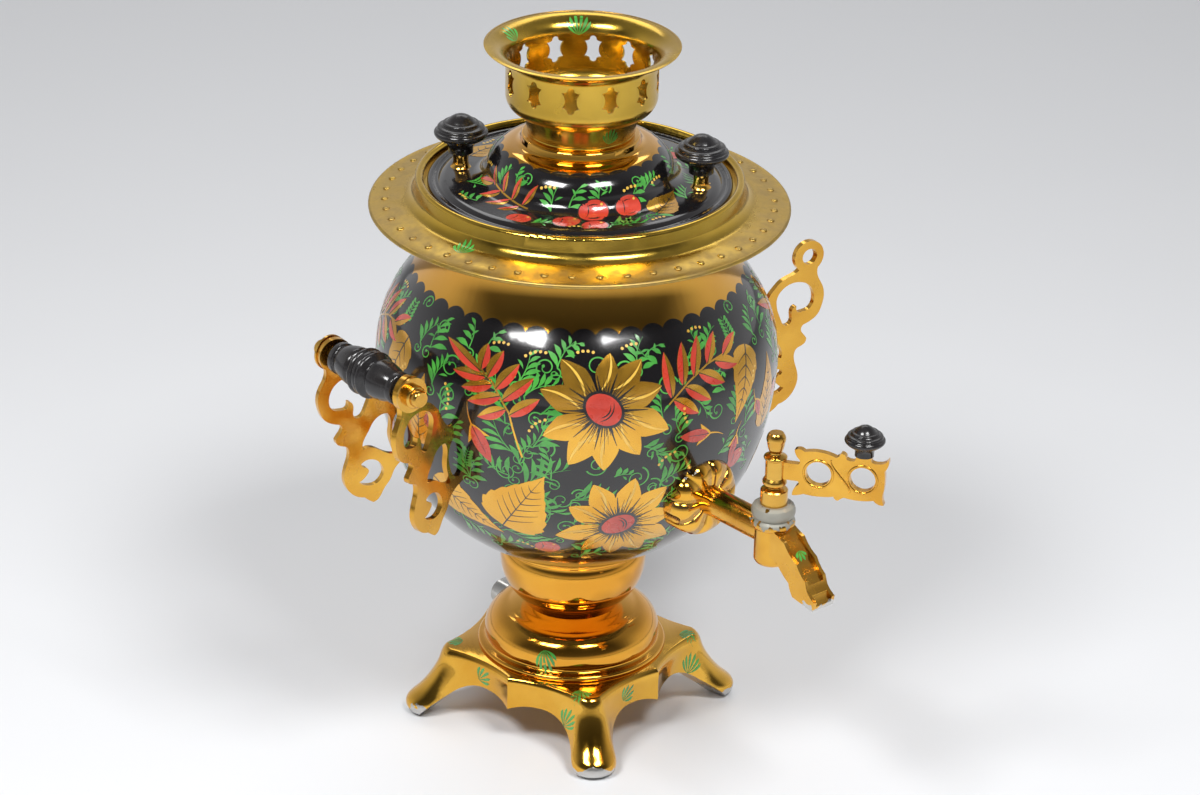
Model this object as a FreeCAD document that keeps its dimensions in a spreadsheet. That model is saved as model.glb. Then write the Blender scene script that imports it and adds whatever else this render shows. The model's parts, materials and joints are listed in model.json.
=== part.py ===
import FreeCAD
import Part
import Sketcher
import math
import os

# A classic electric samovar: painted body on a turned pedestal and a four-footed cast base, with a gallery
# ring, a lid with two knobs, a pierced crown, a tap with an openwork key, and two pairs of handle brackets.
# The origin is on the samovar's axis at table level. +Z is up, the tap points to -Y, the handles to -X and +X.

SIZES = {
    "base_height": 37.0,
    "base_turn": 13.2,
    "base_cusp_radius": 56.0,
    "base_side_reach": 50.2,
    "base_side_mid": 21.0,
    "base_wall": 3.0,
    "base_plate": 3.4,
    "base_cusp_height": 19.0,
    "base_arch_height": 22.4,
    "foot_reach": 87.0,
    "foot_half_width": 11.8,
    "shoulder_reach": 68.0,
    "shoulder_half_width": 5.3,
    "sheet_wall": 1.2,
    "pedestal_radius": 48.6,
    "pedestal_height": 23.8,
    "pedestal_dome_radius": 45.0,
    "waist_radius": 24.4,
    "collar_height": 38.0,
    "collar_radius": 37.8,
    "collar_bead_radius": 38.4,
    "rod_radius": 4.0,
    "fit_gap": 0.05,
    "cut_spare": 10.0,
    "slip_gap": 0.3,
    "tie_nut_flats": 13.0,
    "tie_nut_height": 6.5,
    "tie_washer_radius": 12.0,
    "tie_washer_height": 1.6,
    "rod_stickout": 2.0,
    "body_foot_radius": 40.5,
    "body_low_radius": 65.95,
    "body_low_rise": 17.2,
    "body_side_radius": 93.24,
    "body_side_rise": 55.9,
    "belly_radius": 102.34,
    "belly_rise": 101.3,
    "body_shoulder_radius": 86.37,
    "body_shoulder_rise": 148.94,
    "neck_radius": 73.91,
    "neck_drop": 4.0,
    "body_height": 187.0,
    "body_flange_radius": 84.0,
    "floor_thickness": 2.0,
    "floor_boss_radius": 8.0,
    "floor_boss_height": 10.0,
    "gallery_radius": 106.0,
    "gallery_drop": 1.6,
    "gallery_bead": 1.1,
    "gallery_cove_radius": 89.5,
    "gallery_collar_radius": 82.6,
    "gallery_collar_height": 13.4,
    "gallery_lip_radius": 78.4,
    "lid_seat_radius": 72.8,
    "lid_seat_rise": 9.2,
    "lid_radius": 76.5,
    "lid_edge_height": 2.6,
    "lid_brim_rise": 3.6,
    "lid_bell_radius": 53.0,
    "lid_bell_top_radius": 33.5,
    "lid_top_rise": 27.6,
    "lid_ring_radius": 30.0,
    "lid_skirt_depth": 5.0,
    "lid_steam_radius": 3.0,
    "lid_turn": -51.3,
    "lid_knob_reach": 61.0,
    "knob_radius": 13.5,
    "knob_height": 20.0,
    "knob_stem_radius": 5.2,
    "knob_stem_height": 8.0,
    "knob_screw_radius": 2.0,
    "knob_screw_depth": 10.0,
    "screw_head_radius": 4.0,
    "screw_head_height": 2.4,
    "crown_turn": 10.6,
    "crown_foot_radius": 26.4,
    "crown_foot_height": 11.0,
    "crown_wall_radius": 38.0,
    "crown_height": 46.3,
    "crown_rim_radius": 49.0,
    "crown_wall_top": 38.6,
    "crown_floor_rise": 13.2,
    "crown_steam_reach": 15.0,
    "crown_steam_radius": 2.0,
    "crown_hole_rise": 30.4,
    "crown_hole_half_height": 7.15,
    "crown_hole_half_width": 4.6,
    "crown_hole_waist": 2.9,
    "crown_hole_count": 12,
    "tap_reach": 148.0,
    "tap_height": 158.0,
    "tap_pipe_radius": 7.5,
    "tap_pipe_bore": 4.5,
    "rosette_radius": 20.5,
    "rosette_thickness": 9.0,
    "rosette_lobes": 9,
    "tap_thread_length": 17.0,
    "gasket_thickness": 2.0,
    "gasket_radius": 13.0,
    "tap_washer_radius": 13.0,
    "tap_washer_thickness": 1.2,
    "tap_nut_flats": 22.0,
    "tap_nut_thickness": 5.0,
    "barrel_radius": 9.0,
    "barrel_drop": 17.0,
    "barrel_collar_radius": 10.75,
    "barrel_collar_rise": 4.0,
    "barrel_top_rise": 16.0,
    "spout_width": 14.0,
    "spout_wall": 2.2,
    "plug_radius": 6.8,
    "plug_top_rise": 24.0,
    "stem_radius": 4.85,
    "stem_top_rise": 54.0,
    "key_turn": 34.2,
    "key_thickness": 3.5,
    "key_height": 35.5,
    "key_ring_reach": 21.8,
    "key_ring_gap": 21.9,
    "key_hole_radius": 6.35,
    "key_ring_radius": 10.6,
    "key_length": 54.6,
    "key_stub_height": 9.0,
    "key_neck_radius": 3.9,
    "key_knob_radius": 9.8,
    "key_knob_height": 16.0,
    "key_pin_radius": 1.5,
    "key_pin_depth": 7.0,
    "key_pin_lift": 12.4,
    "eye_reach": 137.0,
    "eye_height": 229.0,
    "eye_outer_radius": 8.8,
    "eye_hole_radius": 4.3,
    "bracket_spread": 11.9,
    "bracket_thickness": 3.0,
    "upper_stud_height": 198.0,
    "lower_stud_height": 168.5,
    "stud_radius": 1.4,
    "stud_length": 9.0,
    "stud_nut_flats": 5.5,
    "stud_nut_height": 2.4,
    "stud_washer_radius": 3.5,
    "stud_washer_height": 0.8,
    "grip_rod_radius": 3.9,
    "grip_end_radius": 8.2,
    "grip_ring_radius": 12.0,
    "grip_washer_radius": 9.0,
    "grip_washer_height": 1.2,
    "cap_nut_radius": 5.8,
    "cap_nut_height": 7.0,
    "heater_tube_radius": 4.0,
    "heater_ring_radius": 48.0,
    "heater_leg_offset": 18.0,
    "heater_bend_radius": 14.0,
    "heater_rise": 32.0,
    "heater_drop": 17.0,
    "gland_radius": 6.0,
    "gland_flange_radius": 8.0,
    "gland_flange_height": 2.0,
    "heater_gasket_height": 1.6,
    "heater_nut_flats": 14.0,
    "heater_nut_height": 3.5,
    "terminal_radius": 1.6,
    "terminal_length": 6.0,
    "lead_radius": 1.2,
    "inlet_height": 49.2,
    "inlet_half_width": 16.0,
    "inlet_half_height": 6.6,
    "inlet_back": 28.0,
    "inlet_front": 47.0,
    "inlet_block": 7.0,
    "pin_spacing": 19.0,
    "pin_radius": 2.5,
    "pin_nut_flats": 8.0,
    "pin_nut_height": 3.0,
}

document = FreeCAD.newDocument("samovar")
sheet = document.addObject("Spreadsheet::Sheet", "sizes")
for row, (alias, value) in enumerate(SIZES.items(), start=1):
    sheet.set("A%d" % row, alias)
    sheet.set("B%d" % row, str(value))
    sheet.setAlias("B%d" % row, alias)
document.recompute()


class Size:
    """A length with its value in mm and the sheet expression that gives it."""

    def __init__(self, value, text):
        self.value = float(value)
        self.text = text

    def join(self, other, sign, value):
        return Size(value, "(%s %s %s)" % (self.text, sign, other.text))

    def __add__(self, other):
        other = as_size(other)
        return self.join(other, "+", self.value + other.value)

    def __radd__(self, other):
        return as_size(other) + self

    def __sub__(self, other):
        other = as_size(other)
        return self.join(other, "-", self.value - other.value)

    def __rsub__(self, other):
        return as_size(other) - self

    def __mul__(self, other):
        other = as_size(other)
        return self.join(other, "*", self.value * other.value)

    def __rmul__(self, other):
        return as_size(other) * self

    def __truediv__(self, other):
        other = as_size(other)
        return self.join(other, "/", self.value / other.value)

    def __neg__(self):
        return Size(-self.value, "(0 - %s)" % self.text)


def as_size(item):
    return item if isinstance(item, Size) else Size(item, "%.6f" % float(item))


class Sheet:
    """Gives each sheet cell as a Size under its alias."""

    def __getattr__(self, alias):
        return Size(sheet.get(alias), "sizes.%s" % alias)


dim = Sheet()
nodes = {}


def number(item):
    return as_size(item).value


def vector(x, y, z):
    return FreeCAD.Vector(number(x), number(y), number(z))


def keep(node, thing):
    """Registers an object as the sub-part of that name."""
    thing.Label = node
    nodes[node] = thing
    return thing


# Outlines. A corner is (across, up) or (across, up, bulge); the bulge is the height of the arc that leads to
# the corner, to the right of the way of travel when positive.


def arc_radius(start, end, bulge):
    """Radius of the arc over a chord, from its height."""
    across = as_size(end[0]) - start[0]
    up = as_size(end[1]) - start[1]
    return (across * across + up * up) / (8 * bulge) + bulge / 2


def arc_centre(start, end, bulge):
    x0, y0, x1, y1 = number(start[0]), number(start[1]), number(end[0]), number(end[1])
    chord = math.hypot(x1 - x0, y1 - y0)
    radius = (chord * chord / 4 + bulge * bulge) / (2 * abs(bulge))
    side = 1 if bulge > 0 else -1
    reach = side * (radius - abs(bulge))
    left = (-(y1 - y0) / chord, (x1 - x0) / chord)
    return (x0 + x1) / 2 + left[0] * reach, (y0 + y1) / 2 + left[1] * reach, radius


def bulge_of(corner):
    return corner[2] if len(corner) > 2 else None


def tangents(start, end):
    """Directions of travel, as angles, at the start and end of the segment that leads to end."""
    angle = math.atan2(number(end[1]) - number(start[1]), number(end[0]) - number(start[0]))
    if bulge_of(end) is None:
        return angle, angle
    chord = math.hypot(number(end[0]) - number(start[0]), number(end[1]) - number(start[1]))
    half = 2 * math.atan2(2 * number(end[2]), chord)
    return angle - half, angle + half


def set_in(chain, wall, flat_start=True, flat_end=True):
    """The chain set to its left by the wall, walked back from its end to its start."""
    corners = []
    for index, corner in enumerate(chain):
        before = tangents(chain[index - 1], corner)[1] if index > 0 else None
        after = tangents(corner, chain[index + 1])[0] if index + 1 < len(chain) else None
        first = before if before is not None else after
        second = after if after is not None else before
        middle = math.atan2(math.sin(first) + math.sin(second), math.cos(first) + math.cos(second))
        half = (second - first + math.pi) % (2 * math.pi) - math.pi
        share = 1 / max(math.cos(half / 2), 0.4)
        shift = (-math.sin(middle) * share, math.cos(middle) * share)
        if (before is None and flat_start) or (after is None and flat_end):
            shift = (-1 / math.sin(middle), 0.0)
        corners.append((corner[0] + wall * round(shift[0], 4), corner[1] + wall * round(shift[1], 4)))
    back = []
    for index in range(len(chain) - 1, -1, -1):
        corner = corners[index]
        if index + 1 < len(chain) and bulge_of(chain[index + 1]) is not None:
            start, end = chain[index], chain[index + 1]
            bulge = number(end[2])
            radius = arc_centre(start, end, bulge)[2]
            side = 1 if bulge > 0 else -1
            scale = (radius - side * number(wall)) / radius
            corner = (corner[0], corner[1], -(as_size(end[2]) * round(scale, 5)))
        back.append(corner)
    return back


def pin_down(sketch, geometry, point, corner):
    """Holds one end of a line at the corner, with both distances bound to the sheet."""
    for kind, axis, item in (("DistanceX", -2, corner[0]), ("DistanceY", -1, corner[1])):
        item = as_size(item)
        if abs(item.value) < 1e-9:
            sketch.addConstraint(Sketcher.Constraint("PointOnObject", geometry, point, axis))
            continue
        if item.value > 0:
            index = sketch.addConstraint(Sketcher.Constraint(kind, -1, 1, geometry, point, item.value))
        else:
            item = -item
            index = sketch.addConstraint(Sketcher.Constraint(kind, geometry, point, -1, 1, item.value))
        sketch.setExpression("Constraints[%d]" % index, item.text)


def draw(sketch, corners):
    """Draws the closed outline through the corners as lines and arcs, every size bound to the sheet."""
    count = len(corners)
    ends = []
    for index in range(count):
        start, end = corners[index - 1], corners[index]
        p, q = vector(start[0], start[1], 0), vector(end[0], end[1], 0)
        bulge = bulge_of(end)
        if bulge is None:
            geometry = sketch.addGeometry(Part.LineSegment(p, q), False)
            ends.append((geometry, 1, 2))
            continue
        x, y, radius = arc_centre(start, end, number(bulge))
        circle = Part.Circle(FreeCAD.Vector(x, y, 0), FreeCAD.Vector(0, 0, 1), radius)
        first, last = (p, q) if number(bulge) > 0 else (q, p)
        angle0 = math.atan2(first.y - y, first.x - x)
        angle1 = math.atan2(last.y - y, last.x - x)
        if angle1 < angle0:
            angle1 += 2 * math.pi
        geometry = sketch.addGeometry(Part.ArcOfCircle(circle, angle0, angle1), False)
        ends.append((geometry, 1, 2) if number(bulge) > 0 else (geometry, 2, 1))
        size = as_size(bulge) if number(bulge) > 0 else -as_size(bulge)
        index_of = sketch.addConstraint(Sketcher.Constraint("Radius", geometry, radius))
        sketch.setExpression("Constraints[%d]" % index_of, arc_radius(start, end, size).text)
    for index in range(count):
        geometry, begin, finish = ends[index]
        following, other, unused = ends[(index + 1) % count]
        sketch.addConstraint(Sketcher.Constraint("Coincident", geometry, finish, following, other))
        pin_down(sketch, geometry, finish, corners[index])


def draw_circle(sketch, across, up, radius):
    """Draws a circle, with its place and radius bound to the sheet."""
    centre = vector(across, up, 0)
    circle = Part.Circle(centre, FreeCAD.Vector(0, 0, 1), number(radius))
    geometry = sketch.addGeometry(circle, False)
    index = sketch.addConstraint(Sketcher.Constraint("Radius", geometry, number(radius)))
    sketch.setExpression("Constraints[%d]" % index, as_size(radius).text)
    pin_down(sketch, geometry, 3, (across, up))


def new_sketch(body, name, plane="XZ_Plane"):
    sketch = body.newObject("Sketcher::SketchObject", name)
    origin = [item for item in body.Origin.OriginFeatures if item.Role == plane][0]
    sketch.AttachmentSupport = [(origin, "")]
    sketch.MapMode = "FlatFace"
    return sketch


def add_turned(body, name, corners):
    sketch = new_sketch(body, name + "_profile")
    draw(sketch, corners)
    turn = body.newObject("PartDesign::Revolution", name + "_turn")
    turn.Profile = sketch
    turn.ReferenceAxis = (sketch, ["V_Axis"])
    turn.Angle = 360
    sketch.Visibility = False
    return turn


def turned(name, corners):
    """A body turned about its own Z axis from the outline (radius, height)."""
    body = document.addObject("PartDesign::Body", name)
    add_turned(body, name, corners)
    return body


def ring(inner, outer, low, high):
    """Outline of a plain ring, or of a disc where inner is 0."""
    return [(inner, low), (outer, low), (outer, high), (inner, high)]


def padded(name, corners, length, plane="XY_Plane", holes=(), midplane=False):
    """A body padded from a flat outline, with round holes through it."""
    body = document.addObject("PartDesign::Body", name)
    sketch = new_sketch(body, name + "_outline", plane)
    draw(sketch, corners)
    for across, up, radius in holes:
        draw_circle(sketch, across, up, radius)
    pad = body.newObject("PartDesign::Pad", name + "_pad")
    pad.Profile = sketch
    pad.setExpression("Length", as_size(length).text)
    pad.Midplane = midplane
    sketch.Visibility = False
    return body


def hexagon(name, flats, height, bore):
    """A nut standing on its own XY plane, with a round bore."""
    body = document.addObject("PartDesign::Body", name)
    sketch = new_sketch(body, name + "_outline", "XY_Plane")
    reach = as_size(flats) / 1.7320508
    corners = []
    for step in range(6):
        angle = math.radians(60 * step)
        corners.append((reach * round(math.cos(angle), 7), reach * round(math.sin(angle), 7)))
    draw(sketch, corners)
    draw_circle(sketch, 0, 0, bore)
    pad = body.newObject("PartDesign::Pad", name + "_pad")
    pad.Profile = sketch
    pad.setExpression("Length", as_size(height).text)
    return body


def move(body, x, y, z, axis=None, angle=0.0):
    """Places a body, with its position bound to the sheet."""
    rotation = FreeCAD.Rotation(axis or FreeCAD.Vector(0, 0, 1), number(angle))
    body.Placement = FreeCAD.Placement(vector(x, y, z), rotation)
    for name, item in (("x", x), ("y", y), ("z", z)):
        body.setExpression("Placement.Base.%s" % name, as_size(item).text)
    return body


def boolean(kind, name, base, tool):
    document.recompute()
    result = document.addObject("Part::" + kind, name)
    result.Base = base
    result.Tool = tool
    return result


def solid(name, shape):
    """A plain feature that holds a shape made with the geometry kernel."""
    feature = document.addObject("Part::Feature", name)
    feature.Shape = shape
    return feature


def group(name, master, placements):
    """The same fastener at several places, kept as separate solids of one sub-part."""
    document.recompute()
    copies = []
    for placement in placements:
        copy = master.Shape.copy()
        copy.Placement = placement.multiply(copy.Placement)
        copies.append(copy)
    return solid(name, Part.makeCompound(copies))


def place_at(point, direction, spin=0.0):
    """A placement that carries +Z onto the direction at the point."""
    turn = FreeCAD.Rotation(FreeCAD.Vector(0, 0, 1), direction)
    about = FreeCAD.Rotation(FreeCAD.Vector(0, 0, 1), spin)
    return FreeCAD.Placement(point, turn.multiply(about))


def tube_path(points):
    """Straight runs through the points, joined by tangent arcs as large as the runs allow."""
    edges = []
    at = points[0]
    for before, corner, after in zip(points, points[1:], points[2:]):
        back = before - corner
        ahead = after - corner
        run = min(back.Length, ahead.Length)
        back.normalize()
        ahead.normalize()
        cut = 0.45 * run
        enter = corner + back * cut
        leave = corner + ahead * cut
        bisector = back + ahead
        bisector.normalize()
        half = back.getAngle(ahead) / 2
        radius = cut * math.tan(half)
        middle = corner + bisector * (radius / math.sin(half) - radius)
        edges.append(Part.LineSegment(at, enter).toShape())
        edges.append(Part.Arc(enter, middle, leave).toShape())
        at = leave
    edges.append(Part.LineSegment(at, points[-1]).toShape())
    return Part.Wire(edges)


def tube(points, radius):
    path = tube_path(points)
    start = points[1] - points[0]
    profile = Part.Wire(Part.makeCircle(radius, points[0], start))
    return path.makePipeShell([profile], True, True)


UP = FreeCAD.Vector(0, 0, 1)
wall = dim.sheet_wall

# Heights of the stack above the table.
base_top = dim.base_height
waist_height = base_top + dim.pedestal_height
body_foot = waist_height + dim.collar_height
body_top = body_foot + dim.body_height
lid_seat = body_top + dim.lid_seat_rise
lid_top = lid_seat + dim.lid_top_rise


# Base casting: horizontal outlines from the top plate down to the feet, lofted into one skin.


def base_outline(height, inset, nose_reach, nose_half, tip_reach):
    """One level of the casting: concave sides with a cusp in the middle, and four rounded noses."""
    cusp = dim.base_cusp_radius.value - inset
    side = (dim.base_side_reach.value - inset, dim.base_side_mid.value)
    nose = ((nose_reach + nose_half) / math.sqrt(2), (nose_reach - nose_half) / math.sqrt(2))
    tip = (tip_reach / math.sqrt(2), tip_reach / math.sqrt(2))
    edges = []
    for quarter in range(4):
        turn = FreeCAD.Rotation(UP, 90 * quarter)
        points = [
            turn.multVec(FreeCAD.Vector(x, y, height))
            for x, y in ((cusp, 0), side, nose, tip, nose[::-1], side[::-1], (0, cusp))
        ]
        edges.append(Part.Arc(*points[0:3]).toShape())
        edges.append(Part.Arc(*points[2:5]).toShape())
        edges.append(Part.Arc(*points[4:7]).toShape())
    return Part.Wire(edges)


def base_levels():
    """Height, inset, nose reach, nose half width and tip reach, from the top plate to the floor."""
    top = dim.base_height.value
    foot = dim.foot_reach.value
    half = dim.foot_half_width.value
    shoulder = dim.shoulder_reach.value
    narrow = dim.shoulder_half_width.value
    return [
        (top, 2.0, shoulder - 4.2, narrow - 1.1, shoulder - 2.8),
        (top - 0.8, 0.7, shoulder - 2.6, narrow - 0.5, shoulder - 1.1),
        (top - 2.2, 0.0, shoulder - 1.8, narrow, shoulder),
        (top - 7.0, 0.0, shoulder - 1.5, narrow + 1.3, shoulder + 1.8),
        (24.0, 0.0, shoulder - 0.5, half - 3.4, shoulder + 4.5),
        (18.0, 0.0, foot - 18.0, half - 2.0, foot - 10.5),
        (12.0, 0.0, foot - 15.0, half - 1.0, foot - 5.0),
        (7.0, 0.0, foot - 11.6, half, foot),
        (3.0, 0.0, foot - 11.6, half, foot),
        (0.8, 0.0, foot - 12.0, half - 0.8, foot - 2.0),
        (0.0, 0.0, foot - 12.0, half - 2.2, foot - 4.5),
    ]


def arch_edges():
    """Right half of the opening under one side, in the plane (across, up)."""
    crest = dim.base_arch_height.value
    return [(0, dim.base_cusp_height.value), (6.5, crest - 1.2), (16, crest), (29, crest - 1.8), (36.5, 16.2), (43, 10.2), (52.5, 0)]


def arch_tool():
    """Prism that opens both sides under the casting along X."""
    half = arch_edges()
    reach = 2 * dim.foot_reach.value
    points = [FreeCAD.Vector(-reach / 2, y, z) for y, z in half]
    mirror = [FreeCAD.Vector(-reach / 2, -y, z) for y, z in half]
    low = FreeCAD.Vector(0, 0, -5)
    edges = []
    for side in (points, mirror):
        edges.append(Part.Arc(side[0], side[1], side[2]).toShape())
        edges.append(Part.Arc(side[2], side[3], side[4]).toShape())
        edges.append(Part.Arc(side[4], side[5], side[6]).toShape())
    edges.append(Part.LineSegment(points[6], points[6] + low).toShape())
    edges.append(Part.LineSegment(points[6] + low, mirror[6] + low).toShape())
    edges.append(Part.LineSegment(mirror[6] + low, mirror[6]).toShape())
    wire = Part.Wire(Part.__sortEdges__(edges))
    return Part.Face(wire).extrude(FreeCAD.Vector(reach, 0, 0))


def base_cavity():
    """Hollow under the top plate, inside the skirt."""
    cusp = dim.base_cusp_radius.value - dim.base_wall.value
    side = dim.base_side_reach.value - dim.base_wall.value
    far = 34.0
    edges = []
    for quarter in range(4):
        turn = FreeCAD.Rotation(UP, 90 * quarter)
        points = [turn.multVec(FreeCAD.Vector(x, y, -5)) for x, y in ((cusp, 0), (side, 16), (side, far), (far, side), (16, side), (0, cusp))]
        edges.append(Part.LineSegment(points[0], points[1]).toShape())
        edges.append(Part.LineSegment(points[1], points[2]).toShape())
        edges.append(Part.LineSegment(points[2], points[3]).toShape())
        edges.append(Part.LineSegment(points[3], points[4]).toShape())
        edges.append(Part.LineSegment(points[4], points[5]).toShape())
    face = Part.Face(Part.Wire(edges))
    return face.extrude(FreeCAD.Vector(0, 0, dim.base_height.value - dim.base_plate.value + 5))


def make_base():
    skin = Part.makeLoft([base_outline(*level) for level in base_levels()], True, False, False)
    arch = arch_tool()
    across = arch.copy()
    across.rotate(FreeCAD.Vector(0, 0, 0), UP, 90)
    hole = Part.makeCylinder(dim.rod_radius.value + dim.slip_gap.value, dim.base_height.value + 10, FreeCAD.Vector(0, 0, -5))
    shape = skin.cut([arch, across, base_cavity(), hole])
    feature = solid("base_casting_shape", shape.Solids[0])
    feature.Placement = FreeCAD.Placement(FreeCAD.Vector(0, 0, 0), FreeCAD.Rotation(UP, dim.base_turn.value))
    keep("base_casting", feature)


def make_pedestal():
    low = base_top
    chain = [
        (dim.pedestal_radius - 0.4, low),
        (dim.pedestal_radius - 1.0, low + 3.0, 1.2),
        (dim.pedestal_radius - 2.4, low + 3.4),
        (dim.pedestal_dome_radius, low + 5.2, -0.5),
        (dim.pedestal_dome_radius - 11.5, low + 21.2, 4.6),
        (dim.waist_radius, low + dim.pedestal_height, 0.25),
    ]
    body = turned("pedestal_dome_body", chain + set_in(chain, wall, True, False))
    slot = new_sketch(body, "inlet_slot", "XZ_Plane")
    draw(slot, stadium(dim.inlet_half_width, dim.inlet_half_height, dim.inlet_height))
    pocket = body.newObject("PartDesign::Pocket", "inlet_opening")
    pocket.Profile = slot
    pocket.Length = number(dim.pedestal_radius + dim.cut_spare)
    pocket.Reversed = False
    keep("pedestal_dome", body)


def stadium(half_width, half_height, middle):
    """Outline with two straight sides and two half-round ends."""
    half_width, half_height = as_size(half_width), as_size(half_height)
    straight = half_width - half_height
    quarter = half_height * round(1 - math.sqrt(0.5), 7)
    return [
        (straight, middle - half_height),
        (half_width, middle, quarter),
        (straight, middle + half_height, quarter),
        (-straight, middle + half_height),
        (-half_width, middle, quarter),
        (-straight, middle - half_height, quarter),
    ]


def make_collar():
    low = waist_height
    chain = [
        (dim.waist_radius, low),
        (dim.waist_radius + 2.8, low + 4.2),
        (dim.collar_radius, low + 25.2, 2.6),
        (dim.collar_radius - 1.6, body_foot - 4.2, 0.7),
        (dim.collar_radius - 1.6, body_foot - 3.2),
        (dim.collar_bead_radius, body_foot - 2.4, -0.2),
        (dim.collar_bead_radius, body_foot, 0.5),
    ]
    keep("neck_collar", turned("neck_collar_body", chain + set_in(chain, wall)))


# Body shell: five tangent arcs, each given by its height over the chord, then a turned-out flange.


def body_chain():
    return [
        (dim.body_foot_radius, body_foot),
        (dim.body_low_radius, body_foot + dim.body_low_rise, 0.76),
        (dim.body_side_radius, body_foot + dim.body_side_rise, 3.13),
        (dim.belly_radius, body_foot + dim.belly_rise, 1.78),
        (dim.body_shoulder_radius, body_foot + dim.body_shoulder_rise, 4.67),
        (dim.neck_radius, body_top - dim.neck_drop, -3.15),
        (dim.neck_radius + 3.0, body_top - wall, -0.8),
        (dim.body_flange_radius, body_top - wall),
    ]


def wall_at(height):
    """Outer radius of the body at a height, and the slope of the outward normal."""
    chain = body_chain()
    for start, end in zip(chain, chain[1:]):
        if bulge_of(end) is None or not number(start[1]) <= height <= number(end[1]):
            continue
        x, z, radius = arc_centre(start, end, number(end[2]))
        side = 1 if number(end[2]) > 0 else -1
        reach = math.sqrt(radius * radius - (height - z) ** 2)
        return x + side * reach, math.atan2(side * (height - z), reach)
    raise ValueError("no wall at %.1f mm" % height)


def body_envelope(name, inner=False):
    """Solid inside the body's outer face, or inside its inner face."""
    chain = body_chain()
    if inner:
        back = set_in(chain, wall, True, False)
        chain = [corner[:2] for corner in back[::-1]]
        for index in range(1, len(chain)):
            if bulge_of(back[len(back) - index]) is not None:
                chain[index] = (*chain[index], -back[len(back) - index][2])
    corners = [(0, chain[0][1])] + chain + [(0, chain[-1][1])]
    return turned(name, corners)


def stud_frames():
    """Where each bracket stud crosses the wall: point, outward direction, and the bracket's azimuth."""
    frames = []
    for azimuth in bracket_azimuths():
        for height in (dim.upper_stud_height.value, dim.lower_stud_height.value):
            reach, slope = wall_at(height)
            turn = FreeCAD.Rotation(UP, azimuth)
            point = turn.multVec(FreeCAD.Vector(reach, 0, height))
            direction = turn.multVec(FreeCAD.Vector(math.cos(slope), 0, math.sin(slope)))
            frames.append((point, direction, azimuth))
    return frames


def bracket_azimuths():
    spread = dim.bracket_spread.value
    return [180 + spread, 180 - spread, spread, -spread]


def make_body():
    chain = body_chain()
    shell = turned("body_shell_blank", chain + set_in(chain, wall, True, False))
    cutters = [Part.makeCylinder(number(dim.tap_pipe_radius + dim.fit_gap), 60, vector(0, -60, dim.tap_height), vector(0, -1, 0))]
    for point, direction, azimuth in stud_frames():
        cutters.append(Part.makeCylinder(number(dim.stud_radius + dim.fit_gap), 20, point - direction * 10, direction))
    tools = solid("body_shell_holes", Part.makeCompound(cutters))
    keep("body_shell", boolean("Cut", "body_shell_cut", shell, tools))


def make_floor():
    low = body_foot
    boss = low + dim.floor_thickness + dim.floor_boss_height
    edge = dim.body_foot_radius - wall * 2.15
    rod = dim.rod_radius + dim.fit_gap
    corners = [
        (rod, low),
        (edge, low),
        (edge, low + dim.floor_thickness),
        (dim.floor_boss_radius, low + dim.floor_thickness),
        (dim.floor_boss_radius, boss),
        (0, boss),
        (0, boss - 2.5),
        (rod, boss - 2.5),
    ]
    body = turned("vessel_floor_body", corners)
    holes = new_sketch(body, "gland_holes", "XY_Plane")
    for side in (-1, 1):
        draw_circle(holes, dim.heater_leg_offset * side, 0, dim.gland_radius + dim.fit_gap)
    pocket = body.newObject("PartDesign::Pocket", "gland_hole_cut")
    pocket.Profile = holes
    pocket.Type = 1
    pocket.Reversed = True
    keep("vessel_floor", body)


def make_ties():
    under = base_top - dim.base_plate
    low = under - dim.tie_washer_height - dim.tie_nut_height - dim.rod_stickout
    high = body_foot + dim.floor_thickness + dim.floor_boss_height - 2.5
    keep("tie_rod", turned("tie_rod_body", ring(0, dim.rod_radius, low, high)))
    bore = dim.rod_radius + dim.fit_gap
    washer = ring(bore, dim.tie_washer_radius, under - dim.tie_washer_height, under)
    keep("tie_washer", turned("tie_washer_body", washer))
    nut = hexagon("tie_nut_body", dim.tie_nut_flats, dim.tie_nut_height, bore)
    move(nut, 0, 0, under - dim.tie_washer_height - dim.tie_nut_height)
    keep("tie_nut", nut)


def make_gallery():
    seat = lid_seat
    rim = body_top - dim.gallery_drop
    chain = [
        (dim.lid_seat_radius, seat),
        (dim.gallery_lip_radius, seat),
        (dim.gallery_lip_radius, seat + 3.2),
        (dim.gallery_collar_radius, seat + 3.2, -1.7),
        (dim.gallery_collar_radius, body_top + 7.0),
        (dim.gallery_cove_radius, body_top + 1.8, 1.5),
        (dim.gallery_radius - 1.6, rim + dim.gallery_bead),
    ]
    tail = [
        (dim.gallery_radius - 1.6, rim - dim.gallery_bead, -1.6),
        (dim.gallery_radius - 3.4, rim - 0.4, -0.3),
    ]
    back = set_in(chain, -wall, False, False)[1:]
    leg = dim.gallery_lip_radius - wall
    back = back[:-1] + [
        (leg, seat - wall),
        (leg, body_top),
        (leg - wall, body_top),
        (leg - wall, seat - wall),
        (dim.lid_seat_radius, seat - wall),
    ]
    keep("gallery_ring", turned("gallery_ring_body", chain + tail + back))


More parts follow.
